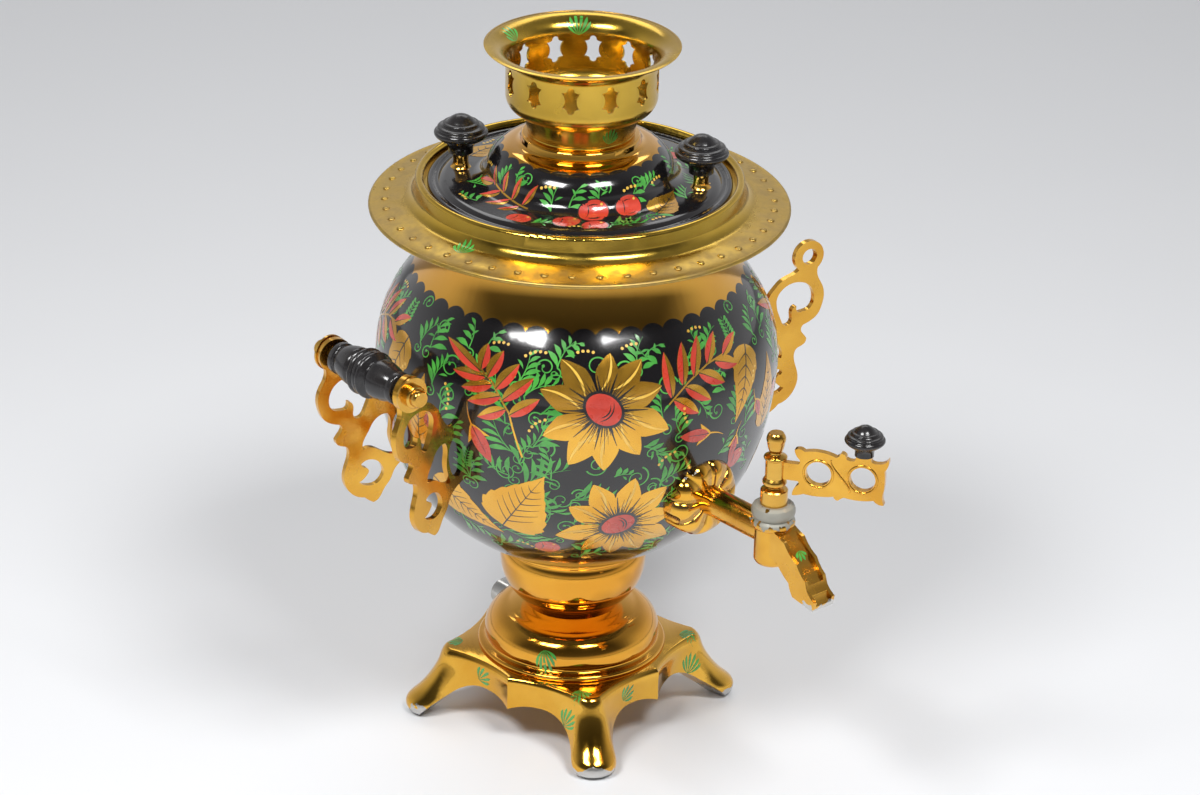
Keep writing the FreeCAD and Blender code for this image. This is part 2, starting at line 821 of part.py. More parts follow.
def make_lid():
    seat = lid_seat
    brim = seat + dim.lid_brim_rise
    chain = [
        (dim.lid_steam_radius, lid_top),
        (dim.lid_ring_radius - 1.2, lid_top),
        (dim.lid_ring_radius, lid_top - 1.2, -0.35),
        (dim.lid_ring_radius + 0.4, lid_top - 3.4),
        (dim.lid_bell_top_radius, lid_top - 4.8, 0.3),
        (dim.lid_bell_radius - 5.5, brim + 6.0, -3.2),
        (dim.lid_bell_radius + 1.5, brim, 1.3),
        (dim.lid_radius - 9.5, brim),
        (dim.lid_radius - 6.0, brim - 1.4, -0.2),
        (dim.lid_radius - 4.0, seat + 1.6, 0.3),
        (dim.lid_radius - 2.6, seat + dim.lid_edge_height, 0.3),
        (dim.lid_radius - 0.8, seat + dim.lid_edge_height, -0.2),
        (dim.lid_radius, seat + dim.lid_edge_height - 1.0, -0.2),
        (dim.lid_radius, seat),
    ]
    back = set_in(chain[:-4], -wall, False, False)
    tail = [(dim.lid_seat_radius + 0.4, seat)]
    body = turned("lid_shell_body", chain + tail + back)
    skirt_outer = dim.lid_seat_radius - dim.slip_gap
    add_turned(body, "lid_skirt", ring(skirt_outer - wall, skirt_outer, seat - dim.lid_skirt_depth, seat + 1.5))
    holes = new_sketch(body, "knob_holes", "XY_Plane")
    for side in (-1, 1):
        draw_circle(holes, dim.lid_knob_reach * side, 0, dim.knob_screw_radius + dim.fit_gap)
    pocket = body.newObject("PartDesign::Pocket", "knob_hole_cut")
    pocket.Profile = holes
    pocket.Type = 1
    pocket.Reversed = True
    move(body, 0, 0, 0, UP, dim.lid_turn)
    keep("lid_shell", body)


def knob_places():
    """Feet of the two lid knobs on the brim."""
    places = []
    for side in (1, -1):
        turn = FreeCAD.Rotation(UP, dim.lid_turn.value)
        places.append(turn.multVec(vector(dim.lid_knob_reach * side, 0, lid_seat + dim.lid_brim_rise)))
    return places


def knob_profile(radius, height, foot, bore, depth):
    """Mushroom knob with two turned steps, on its own foot, with a blind bore from below."""
    radius, height = as_size(radius), as_size(height)
    return [
        (bore, 0),
        (foot, 0),
        (foot, height * 0.12),
        (radius * 0.66, height * 0.32, -0.4),
        (radius * 0.97, height * 0.45, 0.3),
        (radius * 0.97, height * 0.58, 0.5),
        (radius * 0.88, height * 0.62, -0.15),
        (radius * 0.84, height * 0.70, 0.4),
        (radius * 0.68, height * 0.745, -0.2),
        (radius * 0.64, height * 0.80, 0.3),
        (radius * 0.52, height * 0.83, -0.2),
        (radius * 0.1, height, radius * 0.04),
        (0, height),
        (0, depth),
        (bore, depth),
    ]


def make_lid_knobs():
    bore = dim.knob_screw_radius + dim.fit_gap
    profile = knob_profile(dim.knob_radius, dim.knob_height, 6.25, bore, dim.knob_screw_depth)
    stem = [
        (bore, 0),
        (dim.knob_stem_radius, 0),
        (dim.knob_stem_radius - 1.3, dim.knob_stem_height * 0.5, -0.5),
        (dim.knob_stem_radius - 0.4, dim.knob_stem_height, -0.3),
        (bore, dim.knob_stem_height),
    ]
    top = lid_seat + dim.lid_brim_rise
    shank = wall + dim.knob_stem_height + dim.knob_screw_depth - 1
    screw = [
        (0, -dim.screw_head_height),
        (dim.screw_head_radius - 0.6, -dim.screw_head_height),
        (dim.screw_head_radius, -dim.screw_head_height + 0.8, 0.15),
        (dim.screw_head_radius, 0),
        (dim.knob_screw_radius, 0),
        (dim.knob_screw_radius, shank),
        (0, shank),
    ]
    master = turned("knob_screw_master", screw)
    places = knob_places()
    for side, place in zip(("right", "left"), places):
        knob = turned("lid_knob_%s_body" % side, profile)
        knob.Placement = FreeCAD.Placement(place + vector(0, 0, dim.knob_stem_height), FreeCAD.Rotation())
        keep("lid_knob_%s" % side, knob)
        post = turned("lid_knob_stem_%s_body" % side, stem)
        post.Placement = FreeCAD.Placement(place, FreeCAD.Rotation())
        keep("lid_knob_stem_%s" % side, post)
    under = FreeCAD.Vector(0, 0, -wall.value)
    keep("lid_knob_screws", group("lid_knob_screws_group", master, [FreeCAD.Placement(p + under, FreeCAD.Rotation()) for p in places]))


def crown_hole_outline(middle):
    """Pierced opening like two tulips foot to foot."""
    tall, wide, waist = dim.crown_hole_half_height, dim.crown_hole_half_width, dim.crown_hole_waist
    neck = tall - 2.1
    tip = tall - 3.0
    pinch = wide - waist
    return [
        (1.7, middle + neck, -0.3),
        (-1.7, middle + neck, 1.95),
        (-wide, middle + tip, -0.3),
        (-wide, middle - tip, -pinch),
        (-1.7, middle - neck, -0.3),
        (1.7, middle - neck, 1.95),
        (wide, middle - tip, -0.3),
        (wide, middle + tip, -pinch),
    ]


def make_crown():
    low = lid_top
    chain = [
        (dim.crown_foot_radius, low),
        (dim.crown_foot_radius + 0.5, low + 1.6, 0.3),
        (dim.crown_foot_radius + 2.2, low + dim.crown_foot_height),
        (dim.crown_foot_radius + 3.6, low + dim.crown_foot_height + 1.2, -0.3),
        (dim.crown_wall_radius, low + dim.crown_foot_height + 10.5, 2.6),
        (dim.crown_wall_radius, low + dim.crown_wall_top - 1.0),
        (dim.crown_rim_radius - 1.0, low + dim.crown_height - 1.2, -2.6),
        (dim.crown_rim_radius, low + dim.crown_height, 0.2),
    ]
    body = turned("crown_body", chain + set_in(chain, wall, True, False))
    floor = low + dim.crown_floor_rise
    add_turned(body, "crown_floor", ring(0, dim.crown_foot_radius + 4.4, floor, floor + wall))
    steam = new_sketch(body, "steam_hole", "XY_Plane")
    draw_circle(steam, 0, dim.crown_steam_reach, dim.crown_steam_radius)
    vent = body.newObject("PartDesign::Pocket", "steam_hole_cut")
    vent.Profile = steam
    vent.Type = 1
    vent.Reversed = True
    star = new_sketch(body, "pierced_outline", "XZ_Plane")
    draw(star, crown_hole_outline(low + dim.crown_hole_rise))
    pierce = body.newObject("PartDesign::Pocket", "pierced_hole")
    pierce.Profile = star
    pierce.Length = number(dim.crown_rim_radius + dim.cut_spare)
    pattern = body.newObject("PartDesign::PolarPattern", "pierced_ring")
    pattern.Originals = [pierce]
    pattern.Axis = (star, ["V_Axis"])
    pattern.Angle = 360
    pattern.setExpression("Occurrences", dim.crown_hole_count.text)
    body.Tip = pattern
    move(body, 0, 0, 0, UP, dim.crown_turn)
    keep("crown", body)


# Tap: made upright about the barrel axis, with u measured outwards along -Y.

spout_top = [(6.0, 6.3), (15.5, 2.0, 0.5), (24.6, -5.8, 0.9), (31.0, -13.0, 0.6), (32.6, -17.6), (38.0, -22.0, 0.4)]
spout_low = [(37.0, -27.0), (22.6, -24.6), (19.6, -18.2, -0.4), (11.0, -10.8, -0.5), (4.0, -9.0)]


def spout_side():
    """Side outline of the spout as (outwards, above the pipe axis) corners."""
    return spout_top + spout_low


def edges_through(corners, lift, side):
    """Wire of lines and arcs through side-view corners, in the plane x = side."""
    edges = []
    tap = dim.tap_reach.value
    for start, end in zip(corners[-1:] + corners[:-1], corners):
        p = FreeCAD.Vector(side, -tap - start[0], lift + start[1])
        q = FreeCAD.Vector(side, -tap - end[0], lift + end[1])
        if bulge_of(end) is None:
            edges.append(Part.LineSegment(p, q).toShape())
            continue
        x, z, radius = arc_centre(start, end, end[2])
        chord = ((start[0] + end[0]) / 2 - x, (start[1] + end[1]) / 2 - z)
        length = math.hypot(*chord)
        middle = FreeCAD.Vector(side, -tap - x - chord[0] / length * radius, lift + z + chord[1] / length * radius)
        edges.append(Part.Arc(p, middle, q).toShape())
    return Part.Wire(edges)


def slab(corners, lift, width):
    """Solid of the side-view outline, centred on the plane of the tap."""
    return Part.Face(edges_through(corners, lift, -width / 2)).extrude(FreeCAD.Vector(width, 0, 0))


def make_tap_body():
    tap, lift = dim.tap_reach.value, dim.tap_height.value
    axis = FreeCAD.Vector(0, -tap, 0)
    pipe_radius, bore = dim.tap_pipe_radius.value, dim.tap_pipe_bore.value
    inside = wall_at(lift)[0] - dim.tap_thread_length.value
    pipe = Part.makeCylinder(pipe_radius, tap - inside, FreeCAD.Vector(0, -inside, lift), FreeCAD.Vector(0, -1, 0))
    radius, collar = dim.barrel_radius.value, dim.barrel_collar_radius.value
    low, rise, top = lift - dim.barrel_drop.value, dim.barrel_collar_rise.value, dim.barrel_top_rise.value
    outline = [
        (0, low),
        (radius - 3.0, low + 0.6, 0.1),
        (radius, low + 4.6, 1.1),
        (radius, lift + rise),
        (collar - 0.6, lift + rise),
        (collar - 0.6, lift + rise + 4.2, 0.9),
        (collar - 1.2, lift + rise + 5.0),
        (collar - 0.4, lift + rise + 5.8),
        (collar - 0.6, lift + top - 1.0, 0.7),
        (collar - 2.2, lift + top),
        (0, lift + top),
    ]
    barrel = turned("tap_barrel_blank", outline)
    document.recompute()
    body = barrel.Shape.copy()
    body.translate(axis)
    width = dim.spout_width.value
    spout = slab(spout_side(), lift, width)
    shape = body.fuse([pipe, spout])
    groove = [(11.0, 3.4), (17.2, 3.2), (26.4, -4.8, 0.9), (33.0, -13.0, 0.6), (31.2, -16.4), (28.0, -12.0), (21.0, -5.0, -0.6)]
    panel = [(34.4, -18.0), (40.0, -18.0), (40.0, -26.0), (37.6, -25.0), (34.6, -20.2)]
    rail = 2.0
    channel = [(24.5, -30.0), (24.5, -23.0), (21.0, -16.0), (10.0, -6.5), (0, -5.5), (0, 0.5), (12, -1.0), (22.5, -9.0), (28.5, -17.0), (31.5, -21.0), (34.0, -30.0)]
    cuts = [
        slab(groove, lift, width - 2 * rail),
        slab(panel, lift, width - 2 * rail),
        slab(channel, lift, width - 2 * dim.spout_wall.value - 2),
        Part.makeCylinder(bore, tap - inside + 4, FreeCAD.Vector(0, -inside + 4, lift), FreeCAD.Vector(0, -1, 0)),
    ]
    plug = dim.plug_radius.value + dim.fit_gap.value
    cuts.append(Part.makeCylinder(plug, dim.barrel_drop.value + 30, axis + FreeCAD.Vector(0, 0, low + 3.0)))
    shape = shape.cut(cuts).removeSplitter()
    biggest = max(shape.Solids, key=lambda item: item.Volume)
    keep("tap_body", solid("tap_body_shape", biggest))


def make_tap_plug():
    lift = dim.tap_height
    low = lift - dim.barrel_drop + 3.0 + dim.fit_gap
    top = lift + dim.plug_top_rise
    stem = dim.stem_radius
    high = lift + dim.stem_top_rise
    outline = [
        (0, low),
        (dim.plug_radius - 0.4, low),
        (dim.plug_radius, low + 0.4),
        (dim.plug_radius, top - 0.6),
        (dim.plug_radius - 0.6, top),
        (stem - 1.1, top + 0.4),
        (stem - 1.1, top + 1.4, -0.2),
        (stem + 0.7, top + 2.4),
        (stem + 0.7, top + 5.2, 0.5),
        (stem, top + 6.2),
        (stem, top + 15.6),
        (stem + 0.7, top + 16.2),
        (stem + 0.7, top + 17.6, 0.3),
        (stem - 1.6, top + 18.6),
        (stem - 1.6, top + 20.2, -0.3),
        (stem - 0.4, high - 5.0, 0.2),
        (stem - 0.9, high - 0.6, 0.6),
        (stem - 1.4, high),
        (0, high),
    ]
    body = turned("tap_plug_body", outline)
    way = new_sketch(body, "water_way", "XZ_Plane")
    draw_circle(way, 0, lift, dim.tap_pipe_bore - 0.5)
    pocket = body.newObject("PartDesign::Pocket", "water_way_cut")
    pocket.Profile = way
    pocket.Type = 1
    pocket.Midplane = True
    half = dim.key_stub_height / 2
    middle = lift + dim.key_height - 0.8
    side = dim.key_thickness / 2
    flat = new_sketch(body, "key_slot", "XZ_Plane")
    draw(flat, [(-side, middle - half), (side, middle - half), (side, middle + half), (-side, middle + half)])
    cut = body.newObject("PartDesign::Pocket", "key_slot_cut")
    cut.Profile = flat
    cut.Length = 20
    cut.Reversed = True
    body.Placement = FreeCAD.Placement(vector(0, -dim.tap_reach, 0), FreeCAD.Rotation(UP, dim.key_turn.value))
    keep("tap_plug", body)


def key_point(out, up, origin):
    return origin + FreeCAD.Vector(0, -out, up)


def key_wire(origin):
    """Outer outline of the key plate: stub, two scrolled rings and six horns."""
    first = dim.key_ring_reach.value
    second = first + dim.key_ring_gap.value
    ring_radius = dim.key_ring_radius.value
    end = dim.key_length.value
    half = dim.key_stub_height.value / 2
    inner = first - ring_radius
    waist = (first + second) / 2
    stub = 1.2
    corners = [
        (stub, half - 0.8),
        (inner + 0.4, half - 0.8),
        (inner + 0.9, 6.4, -0.6),
        (inner - 1.6, 11.2, 0.5),
        (inner + 3.4, 10.9, 0.9),
        (waist - 2.6, 9.9, 1.3),
        (waist - 0.2, 12.4, -0.4),
        (waist + 2.6, 9.8, 0.9),
        (second - 4.4, 9.4, -0.5),
        (second - 3.9, 12.4, -0.4),
        (second + 3.9, 12.4),
        (second + 4.4, 9.6, -0.4),
        (end - 3.0, 9.4, -0.3),
        (end + 1.4, 12.4, -0.8),
        (end - 0.2, 6.0, 0.9),
        (end - 0.2, -5.0, 0.3),
        (end + 0.2, -12.4, -0.7),
        (end - 5.0, -10.6, 0.9),
        (waist + 2.2, -11.0, 0.8),
        (waist - 0.6, -13.0, -0.2),
        (waist - 3.0, -11.2, 0.6),
        (inner + 3.6, -11.8, 0.7),
        (inner - 2.0, -13.2, 0.3),
        (inner + 0.9, -7.4, 0.9),
        (inner + 0.4, -half - 0.8, -0.5),
        (stub, -half - 0.8),
    ]
    edges = []
    for start, end_corner in zip(corners[-1:] + corners[:-1], corners):
        p = key_point(start[0], start[1], origin)
        q = key_point(end_corner[0], end_corner[1], origin)
        if bulge_of(end_corner) is None:
            edges.append(Part.LineSegment(p, q).toShape())
            continue
        x, z, radius = arc_centre(start, end_corner, -end_corner[2])
        chord = ((start[0] + end_corner[0]) / 2 - x, (start[1] + end_corner[1]) / 2 - z)
        length = math.hypot(*chord)
        middle = key_point(x + chord[0] / length * radius, z + chord[1] / length * radius, origin)
        edges.append(Part.Arc(p, middle, q).toShape())
    return Part.Wire(edges)


def key_origin():
    return FreeCAD.Vector(0, 0, number(dim.tap_height + dim.key_height))


def key_placement():
    return FreeCAD.Placement(vector(0, -dim.tap_reach, 0), FreeCAD.Rotation(UP, dim.key_turn.value))


def make_key():
    thick = dim.key_thickness.value
    origin = key_origin() + FreeCAD.Vector(-thick / 2, 0, 0)
    outer = key_wire(origin)
    shape = Part.Face(outer).extrude(FreeCAD.Vector(thick, 0, 0))
    cuts = []
    for out in (dim.key_ring_reach.value, number(dim.key_ring_reach + dim.key_ring_gap)):
        centre = key_point(out, 0, origin) - FreeCAD.Vector(5, 0, 0)
        cuts.append(Part.makeCylinder(dim.key_hole_radius.value, thick + 10, centre, FreeCAD.Vector(1, 0, 0)))
    knob_reach = number(dim.key_ring_reach + dim.key_ring_gap)
    seat = key_point(knob_reach, dim.key_pin_lift.value, key_origin())
    pin_low = seat - FreeCAD.Vector(0, 0, dim.key_pin_depth.value / 2)
    pin = dim.key_pin_radius.value
    length = dim.key_pin_depth.value
    cuts.append(Part.makeCylinder(pin + dim.fit_gap.value, length + 5, pin_low))
    shape = shape.cut(cuts)
    plate = solid("tap_key_plate_shape", shape.Solids[0])
    plate.Placement = key_placement()
    keep("tap_key_plate", plate)
    post = solid("tap_key_pin_shape", Part.makeCylinder(pin, length, pin_low + FreeCAD.Vector(0, 0, dim.fit_gap.value)))
    post.Placement = key_placement()
    keep("tap_key_pin", post)
    bore = dim.key_pin_radius + dim.fit_gap
    profile = knob_profile(dim.key_knob_radius, dim.key_knob_height, 4.7, bore, dim.key_pin_depth / 2 + 0.5)
    knob = turned("tap_key_knob_body", profile)
    knob.Placement = key_placement().multiply(FreeCAD.Placement(seat, FreeCAD.Rotation()))
    keep("tap_key_knob", knob)


def make_rosette():
    lift = dim.tap_height
    radius, thick = dim.rosette_radius, dim.rosette_thickness
    face = wall_at(lift.value)[0]
    bore = dim.tap_pipe_radius + dim.fit_gap
    outline = [
        (bore, -14.0),
        (radius, -14.0),
        (radius, thick * 0.2),
        (bore + 4.5, thick, 2.4),
        (bore, thick),
    ]
    blank = turned("rosette_blank", outline)
    notch = new_sketch(blank, "rosette_notch", "XY_Plane")
    draw_circle(notch, radius + 1.9, 0, 3.4)
    cut = blank.newObject("PartDesign::Pocket", "rosette_notch_cut")
    cut.Profile = notch
    cut.Length = 60
    cut.Midplane = True
    lobes = blank.newObject("PartDesign::PolarPattern", "rosette_lobes")
    lobes.Originals = [cut]
    lobes.Axis = (notch, ["N_Axis"])
    lobes.Angle = 360
    lobes.setExpression("Occurrences", dim.rosette_lobes.text)
    blank.Tip = lobes
    blank.Placement = FreeCAD.Placement(FreeCAD.Vector(0, -face, lift.value), FreeCAD.Rotation(FreeCAD.Vector(1, 0, 0), 90))
    envelope = body_envelope("body_envelope_rosette")
    keep("tap_rosette", boolean("Cut", "tap_rosette_cut", blank, envelope))


def make_tap_fixings():
    """Inner gasket, washer and locknut on the pipe's thread, inside the wall."""
    lift = dim.tap_height.value
    outer, slope = wall_at(lift)
    bore = number(dim.tap_pipe_radius + dim.fit_gap)
    gasket = dim.gasket_radius.value
    drop = gasket * abs(math.tan(slope))
    back = outer - wall.value / math.cos(slope) - drop - dim.gasket_thickness.value
    along = FreeCAD.Vector(0, -1, 0)
    start = FreeCAD.Vector(0, -back, lift)
    blank = Part.makeCylinder(gasket, 30, start, along).cut(Part.makeCylinder(bore, 30, start, along))
    document.recompute()
    envelope = body_envelope("body_envelope_inner", inner=True)
    document.recompute()
    keep("tap_gasket", solid("tap_gasket_shape", blank.common(envelope.Shape).Solids[0]))
    washer_back = back - dim.tap_washer_thickness.value
    washer = turned("tap_washer_body", ring(dim.tap_pipe_radius + dim.fit_gap, dim.tap_washer_radius, 0, dim.tap_washer_thickness))
    washer.Placement = place_at(FreeCAD.Vector(0, -washer_back, lift), along)
    keep("tap_washer", washer)
    nut = hexagon("tap_locknut_body", dim.tap_nut_flats, dim.tap_nut_thickness, dim.tap_pipe_radius + dim.fit_gap)
    nut.Placement = place_at(FreeCAD.Vector(0, -(washer_back - dim.tap_nut_thickness.value), lift), along)
    keep("tap_locknut", nut)


# Handle brackets: flat castings in planes through the samovar's axis. Each curve is a run of points measured
# from the eye's centre, as (outwards, up); a new run starts at each sharp tip.

BRACKET_OUTER = [
    [(-5.9, -6.6), (-7.6, -7.8), (-12.8, -9.6), (-17.0, -11.5), (-20.6, -14.8), (-22.4, -16.7), (-26.3, -23.6), (-33.4, -30.5), (-38.6, -31.0)],
    [(-38.6, -31.0), (-38.6, -35.2)],
    [(-38.6, -35.2), (-34.4, -37.5), (-31.4, -43.0), (-32.2, -52.0), (-35.4, -58.0), (-42.6, -58.8)],
    [(-42.6, -58.8), (-42.6, -63.5)],
    [(-42.6, -63.5), (-36.4, -65.5), (-32.3, -69.5), (-30.0, -74.5), (-26.5, -79.0), (-23.3, -84.0), (-20.5, -85.2)],
    [(-20.5, -85.2), (-18.5, -84.0), (-15.5, -81.5)],
    [(-15.5, -81.5), (-9.5, -79.0), (-5.8, -74.5), (-4.2, -69.0), (-5.5, -62.0), (-7.0, -54.5), (-6.0, -51.8), (-1.5, -49.7), (0.2, -46.5)],
    [(0.2, -46.5), (-1.0, -44.7), (-3.2, -41.5), (-2.0, -38.3)],
    [(-2.0, -38.3), (2.0, -37.0), (6.5, -34.0), (9.0, -29.0), (10.0, -24.0), (8.9, -18.0), (6.0, -12.5), (5.6, -6.8)],
]
BRACKET_HEART = [
    [(-6.7, -26.8), (-5.0, -30.6), (-2.4, -30.5), (0.7, -30.0), (3.1, -27.8), (3.9, -23.4), (2.7, -19.1), (-1.3, -14.8), (-5.7, -13.3), (-10.7, -13.4), (-16.8, -16.8), (-19.1, -21.9)],
    [(-19.1, -21.9), (-18.0, -28.0), (-16.4, -32.0), (-14.2, -36.0), (-12.0, -36.8), (-10.0, -35.8), (-9.3, -33.5), (-9.6, -30.5), (-8.9, -28.0), (-6.7, -26.8)],
]
BRACKET_GAP = [
    [(-14.9, -55.0), (-15.0, -50.2), (-17.8, -45.3), (-20.0, -41.3), (-23.4, -38.2), (-28.4, -37.6)],
    [(-28.4, -37.6), (-30.2, -43.0), (-29.6, -49.0), (-31.0, -56.0), (-32.9, -60.8)],
    [(-32.9, -60.8), (-27.3, -59.0), (-23.3, -56.4), (-19.4, -54.5), (-14.9, -55.0)],
]
BRACKET_CRESCENT = [
    [(-13.8, -62.7), (-16.6, -61.1), (-20.0, -61.3), (-23.3, -63.1), (-25.6, -66.4), (-26.4, -69.4), (-25.0, -73.0), (-22.2, -75.2), (-18.3, -75.4), (-14.3, -74.0), (-12.7, -72.5)],
    [(-12.7, -72.5), (-15.5, -70.9), (-17.2, -69.0), (-18.0, -67.5), (-17.2, -65.7), (-14.9, -64.6), (-13.8, -62.7)],
]


def bracket_wire(runs, closing=None):
    """Wire in the XZ plane: a smooth curve through each run, placed from the eye."""
    reach, height = dim.eye_reach.value, dim.eye_height.value
    edges = []
    for run in runs:
        points = [FreeCAD.Vector(reach + out, 0, height + up) for out, up in run]
        if len(points) == 2:
            edges.append(Part.LineSegment(*points).toShape())
            continue
        curve = Part.BSplineCurve()
        curve.interpolate(points)
        edges.append(curve.toShape())
    if closing is not None:
        edges.append(closing)
    return Part.Wire(Part.__sortEdges__(edges))


def make_brackets():
    reach, height = dim.eye_reach.value, dim.eye_height.value
    thick = dim.bracket_thickness.value
    eye = FreeCAD.Vector(reach, 0, height)
    first, last = BRACKET_OUTER[0][0], BRACKET_OUTER[-1][-1]
    ends = [FreeCAD.Vector(reach + out, 0, height + up) for out, up in (first, last)]
    radius = dim.eye_outer_radius.value
    ends = [eye + (point - eye).normalize() * radius for point in ends]
    runs = [list(run) for run in BRACKET_OUTER]
    runs[0][0] = (ends[0].x - reach, ends[0].z - height)
    runs[-1][-1] = (ends[1].x - reach, ends[1].z - height)
    head = Part.Arc(ends[1], eye + FreeCAD.Vector(0, 0, radius), ends[0]).toShape()
    holes = [Part.Face(bracket_wire(runs_in)) for runs_in in (BRACKET_HEART, BRACKET_GAP, BRACKET_CRESCENT)]
    face = Part.Face(bracket_wire(runs, head)).cut(holes)
    plate = face.extrude(FreeCAD.Vector(0, thick, 0))
    plate.translate(FreeCAD.Vector(0, -thick / 2, 0))
    envelope = body_envelope("body_envelope_brackets")
    document.recompute()
    plate = plate.cut([envelope.Shape])
    plate = max(plate.Solids, key=lambda item: item.Volume)
    studs = []
    for level in (dim.upper_stud_height.value, dim.lower_stud_height.value):
        at, slope = wall_at(level)
        outward = FreeCAD.Vector(math.cos(slope), 0, math.sin(slope))
        start = FreeCAD.Vector(at, 0, level) - outward * (dim.stud_length.value - 2.0)
        studs.append(Part.makeCylinder(dim.stud_radius.value, dim.stud_length.value, start, outward))
    blank = plate.fuse(studs)
    names = ("bracket_left_near", "bracket_left_far", "bracket_right_far", "bracket_right_near")
    for name, azimuth in zip(names, bracket_azimuths()):
        across = FreeCAD.Rotation(UP, -azimuth).multVec(FreeCAD.Vector(0, 1, 0))
        hole = Part.makeCylinder(dim.eye_hole_radius.value, 30, eye - across * 15, across)
        feature = solid(name + "_shape", blank.Solids[0].cut(hole).Solids[0])
        feature.Placement = FreeCAD.Placement(FreeCAD.Vector(0, 0, 0), FreeCAD.Rotation(UP, azimuth))
        keep(name, feature)


def make_stud_fixings():
    washer = turned("stud_washer_master", ring(dim.stud_radius + dim.fit_gap, dim.stud_washer_radius, 0, dim.stud_washer_height))
    nut = hexagon("stud_nut_master", dim.stud_nut_flats, dim.stud_nut_height, dim.stud_radius + dim.fit_gap)
    washers, nuts = [], []
    sag = 0.15
    for point, direction, azimuth in stud_frames():
        inner = point - direction * (wall.value + sag + dim.stud_washer_height.value)
        washers.append(place_at(inner, direction))
        nuts.append(place_at(inner - direction * dim.stud_nut_height.value, direction))
    keep("bracket_washers", group("bracket_washers_group", washer, washers))
    keep("bracket_nuts", group("bracket_nuts_group", nut, nuts))


def grip_axis():
    """Distance of the grip's axis from the samovar's axis, and half the distance between the eyes."""
    spread = math.radians(dim.bracket_spread.value)
    return dim.eye_reach.value * math.cos(spread), dim.eye_reach.value * math.sin(spread)


def make_grip():
    across, half_gap = grip_axis()
    height = dim.eye_height.value
    middle = FreeCAD.Vector(-across, 0, height)
    along = FreeCAD.Vector(0, 1, 0)
    spread = math.radians(dim.bracket_spread.value)
    plate = dim.bracket_thickness.value / 2 / math.cos(spread) + dim.eye_outer_radius.value * math.tan(spread)
    washer = dim.grip_washer_height.value
    inner = half_gap - plate - dim.slip_gap.value
    length = 2 * (inner - 0.2)
    bore = dim.grip_rod_radius + dim.fit_gap
    end, bulb = dim.grip_end_radius, dim.grip_ring_radius
    half = length / 2
    side = [
        (end - 1.2, half),
        (end, half - 1.0, 0.2),
        (end, half - 3.4),
        (end - 0.9, half - 4.2, -0.2),
        (end + 1.9, half - 15.0, 0.5),
        (end + 0.6, half - 17.6, 0.4),
        (end + 1.0, half - 18.6, -0.2),
        (bulb - 0.8, 4.4),
        (bulb, 3.2, 0.2),
        (bulb - 1.1, 1.6, 0.3),
        (bulb - 0.6, 0.0, 0.25),
    ]
    lower = []
    for index in range(len(side) - 2, -1, -1):
        corner = (side[index][0], -side[index][1])
        following = side[index + 1]
        if bulge_of(following) is not None:
            corner = (*corner, following[2])
        lower.append(corner)
    corners = [(bore, half)] + [(*c[:2], -c[2]) if len(c) > 2 else c for c in side]
    corners += [(*c[:2], -c[2]) if len(c) > 2 else c for c in lower] + [(bore, -half)]
    grip = turned("left_grip_body", corners)
    grip.Placement = place_at(middle, along)
    keep("left_grip", grip)
    outside = half_gap + plate
    reach = outside + washer + dim.cap_nut_height.value - 2.0
    rod = turned("grip_rod_body", ring(0, dim.grip_rod_radius, -reach, reach))
    rod.Placement = place_at(middle, along)
    keep("left_grip_rod", rod)
    ring_outline = ring(bore, dim.grip_washer_radius, 0, dim.grip_washer_height)
    washer_master = turned("grip_washer_master", ring_outline)
    cap = [
        (bore, 0),
        (dim.cap_nut_radius, 0),
        (dim.cap_nut_radius, 2.6),
        (dim.cap_nut_radius - 1.3, 3.4, 0.2),
        (dim.cap_nut_radius - 1.3, 5.2),
        (dim.cap_nut_radius - 2.0, dim.cap_nut_height, 0.2),
        (0, dim.cap_nut_height),
        (0, dim.cap_nut_height - 1.8),
        (bore, dim.cap_nut_height - 1.8),
    ]
    cap_master = turned("cap_nut_master", cap)
    washers, caps = [], []
    for side_sign in (-1, 1):
        out = along * side_sign
        washers.append(place_at(middle + out * outside, out))
        caps.append(place_at(middle + out * (outside + washer), out))
    keep("left_grip_washers", group("left_grip_washers_group", washer_master, washers))
    keep("left_grip_nuts", group("left_grip_nuts_group", cap_master, caps))


# Heater: a ring of tube with two legs through the vessel floor, terminals, leads and the inlet in the pedestal.


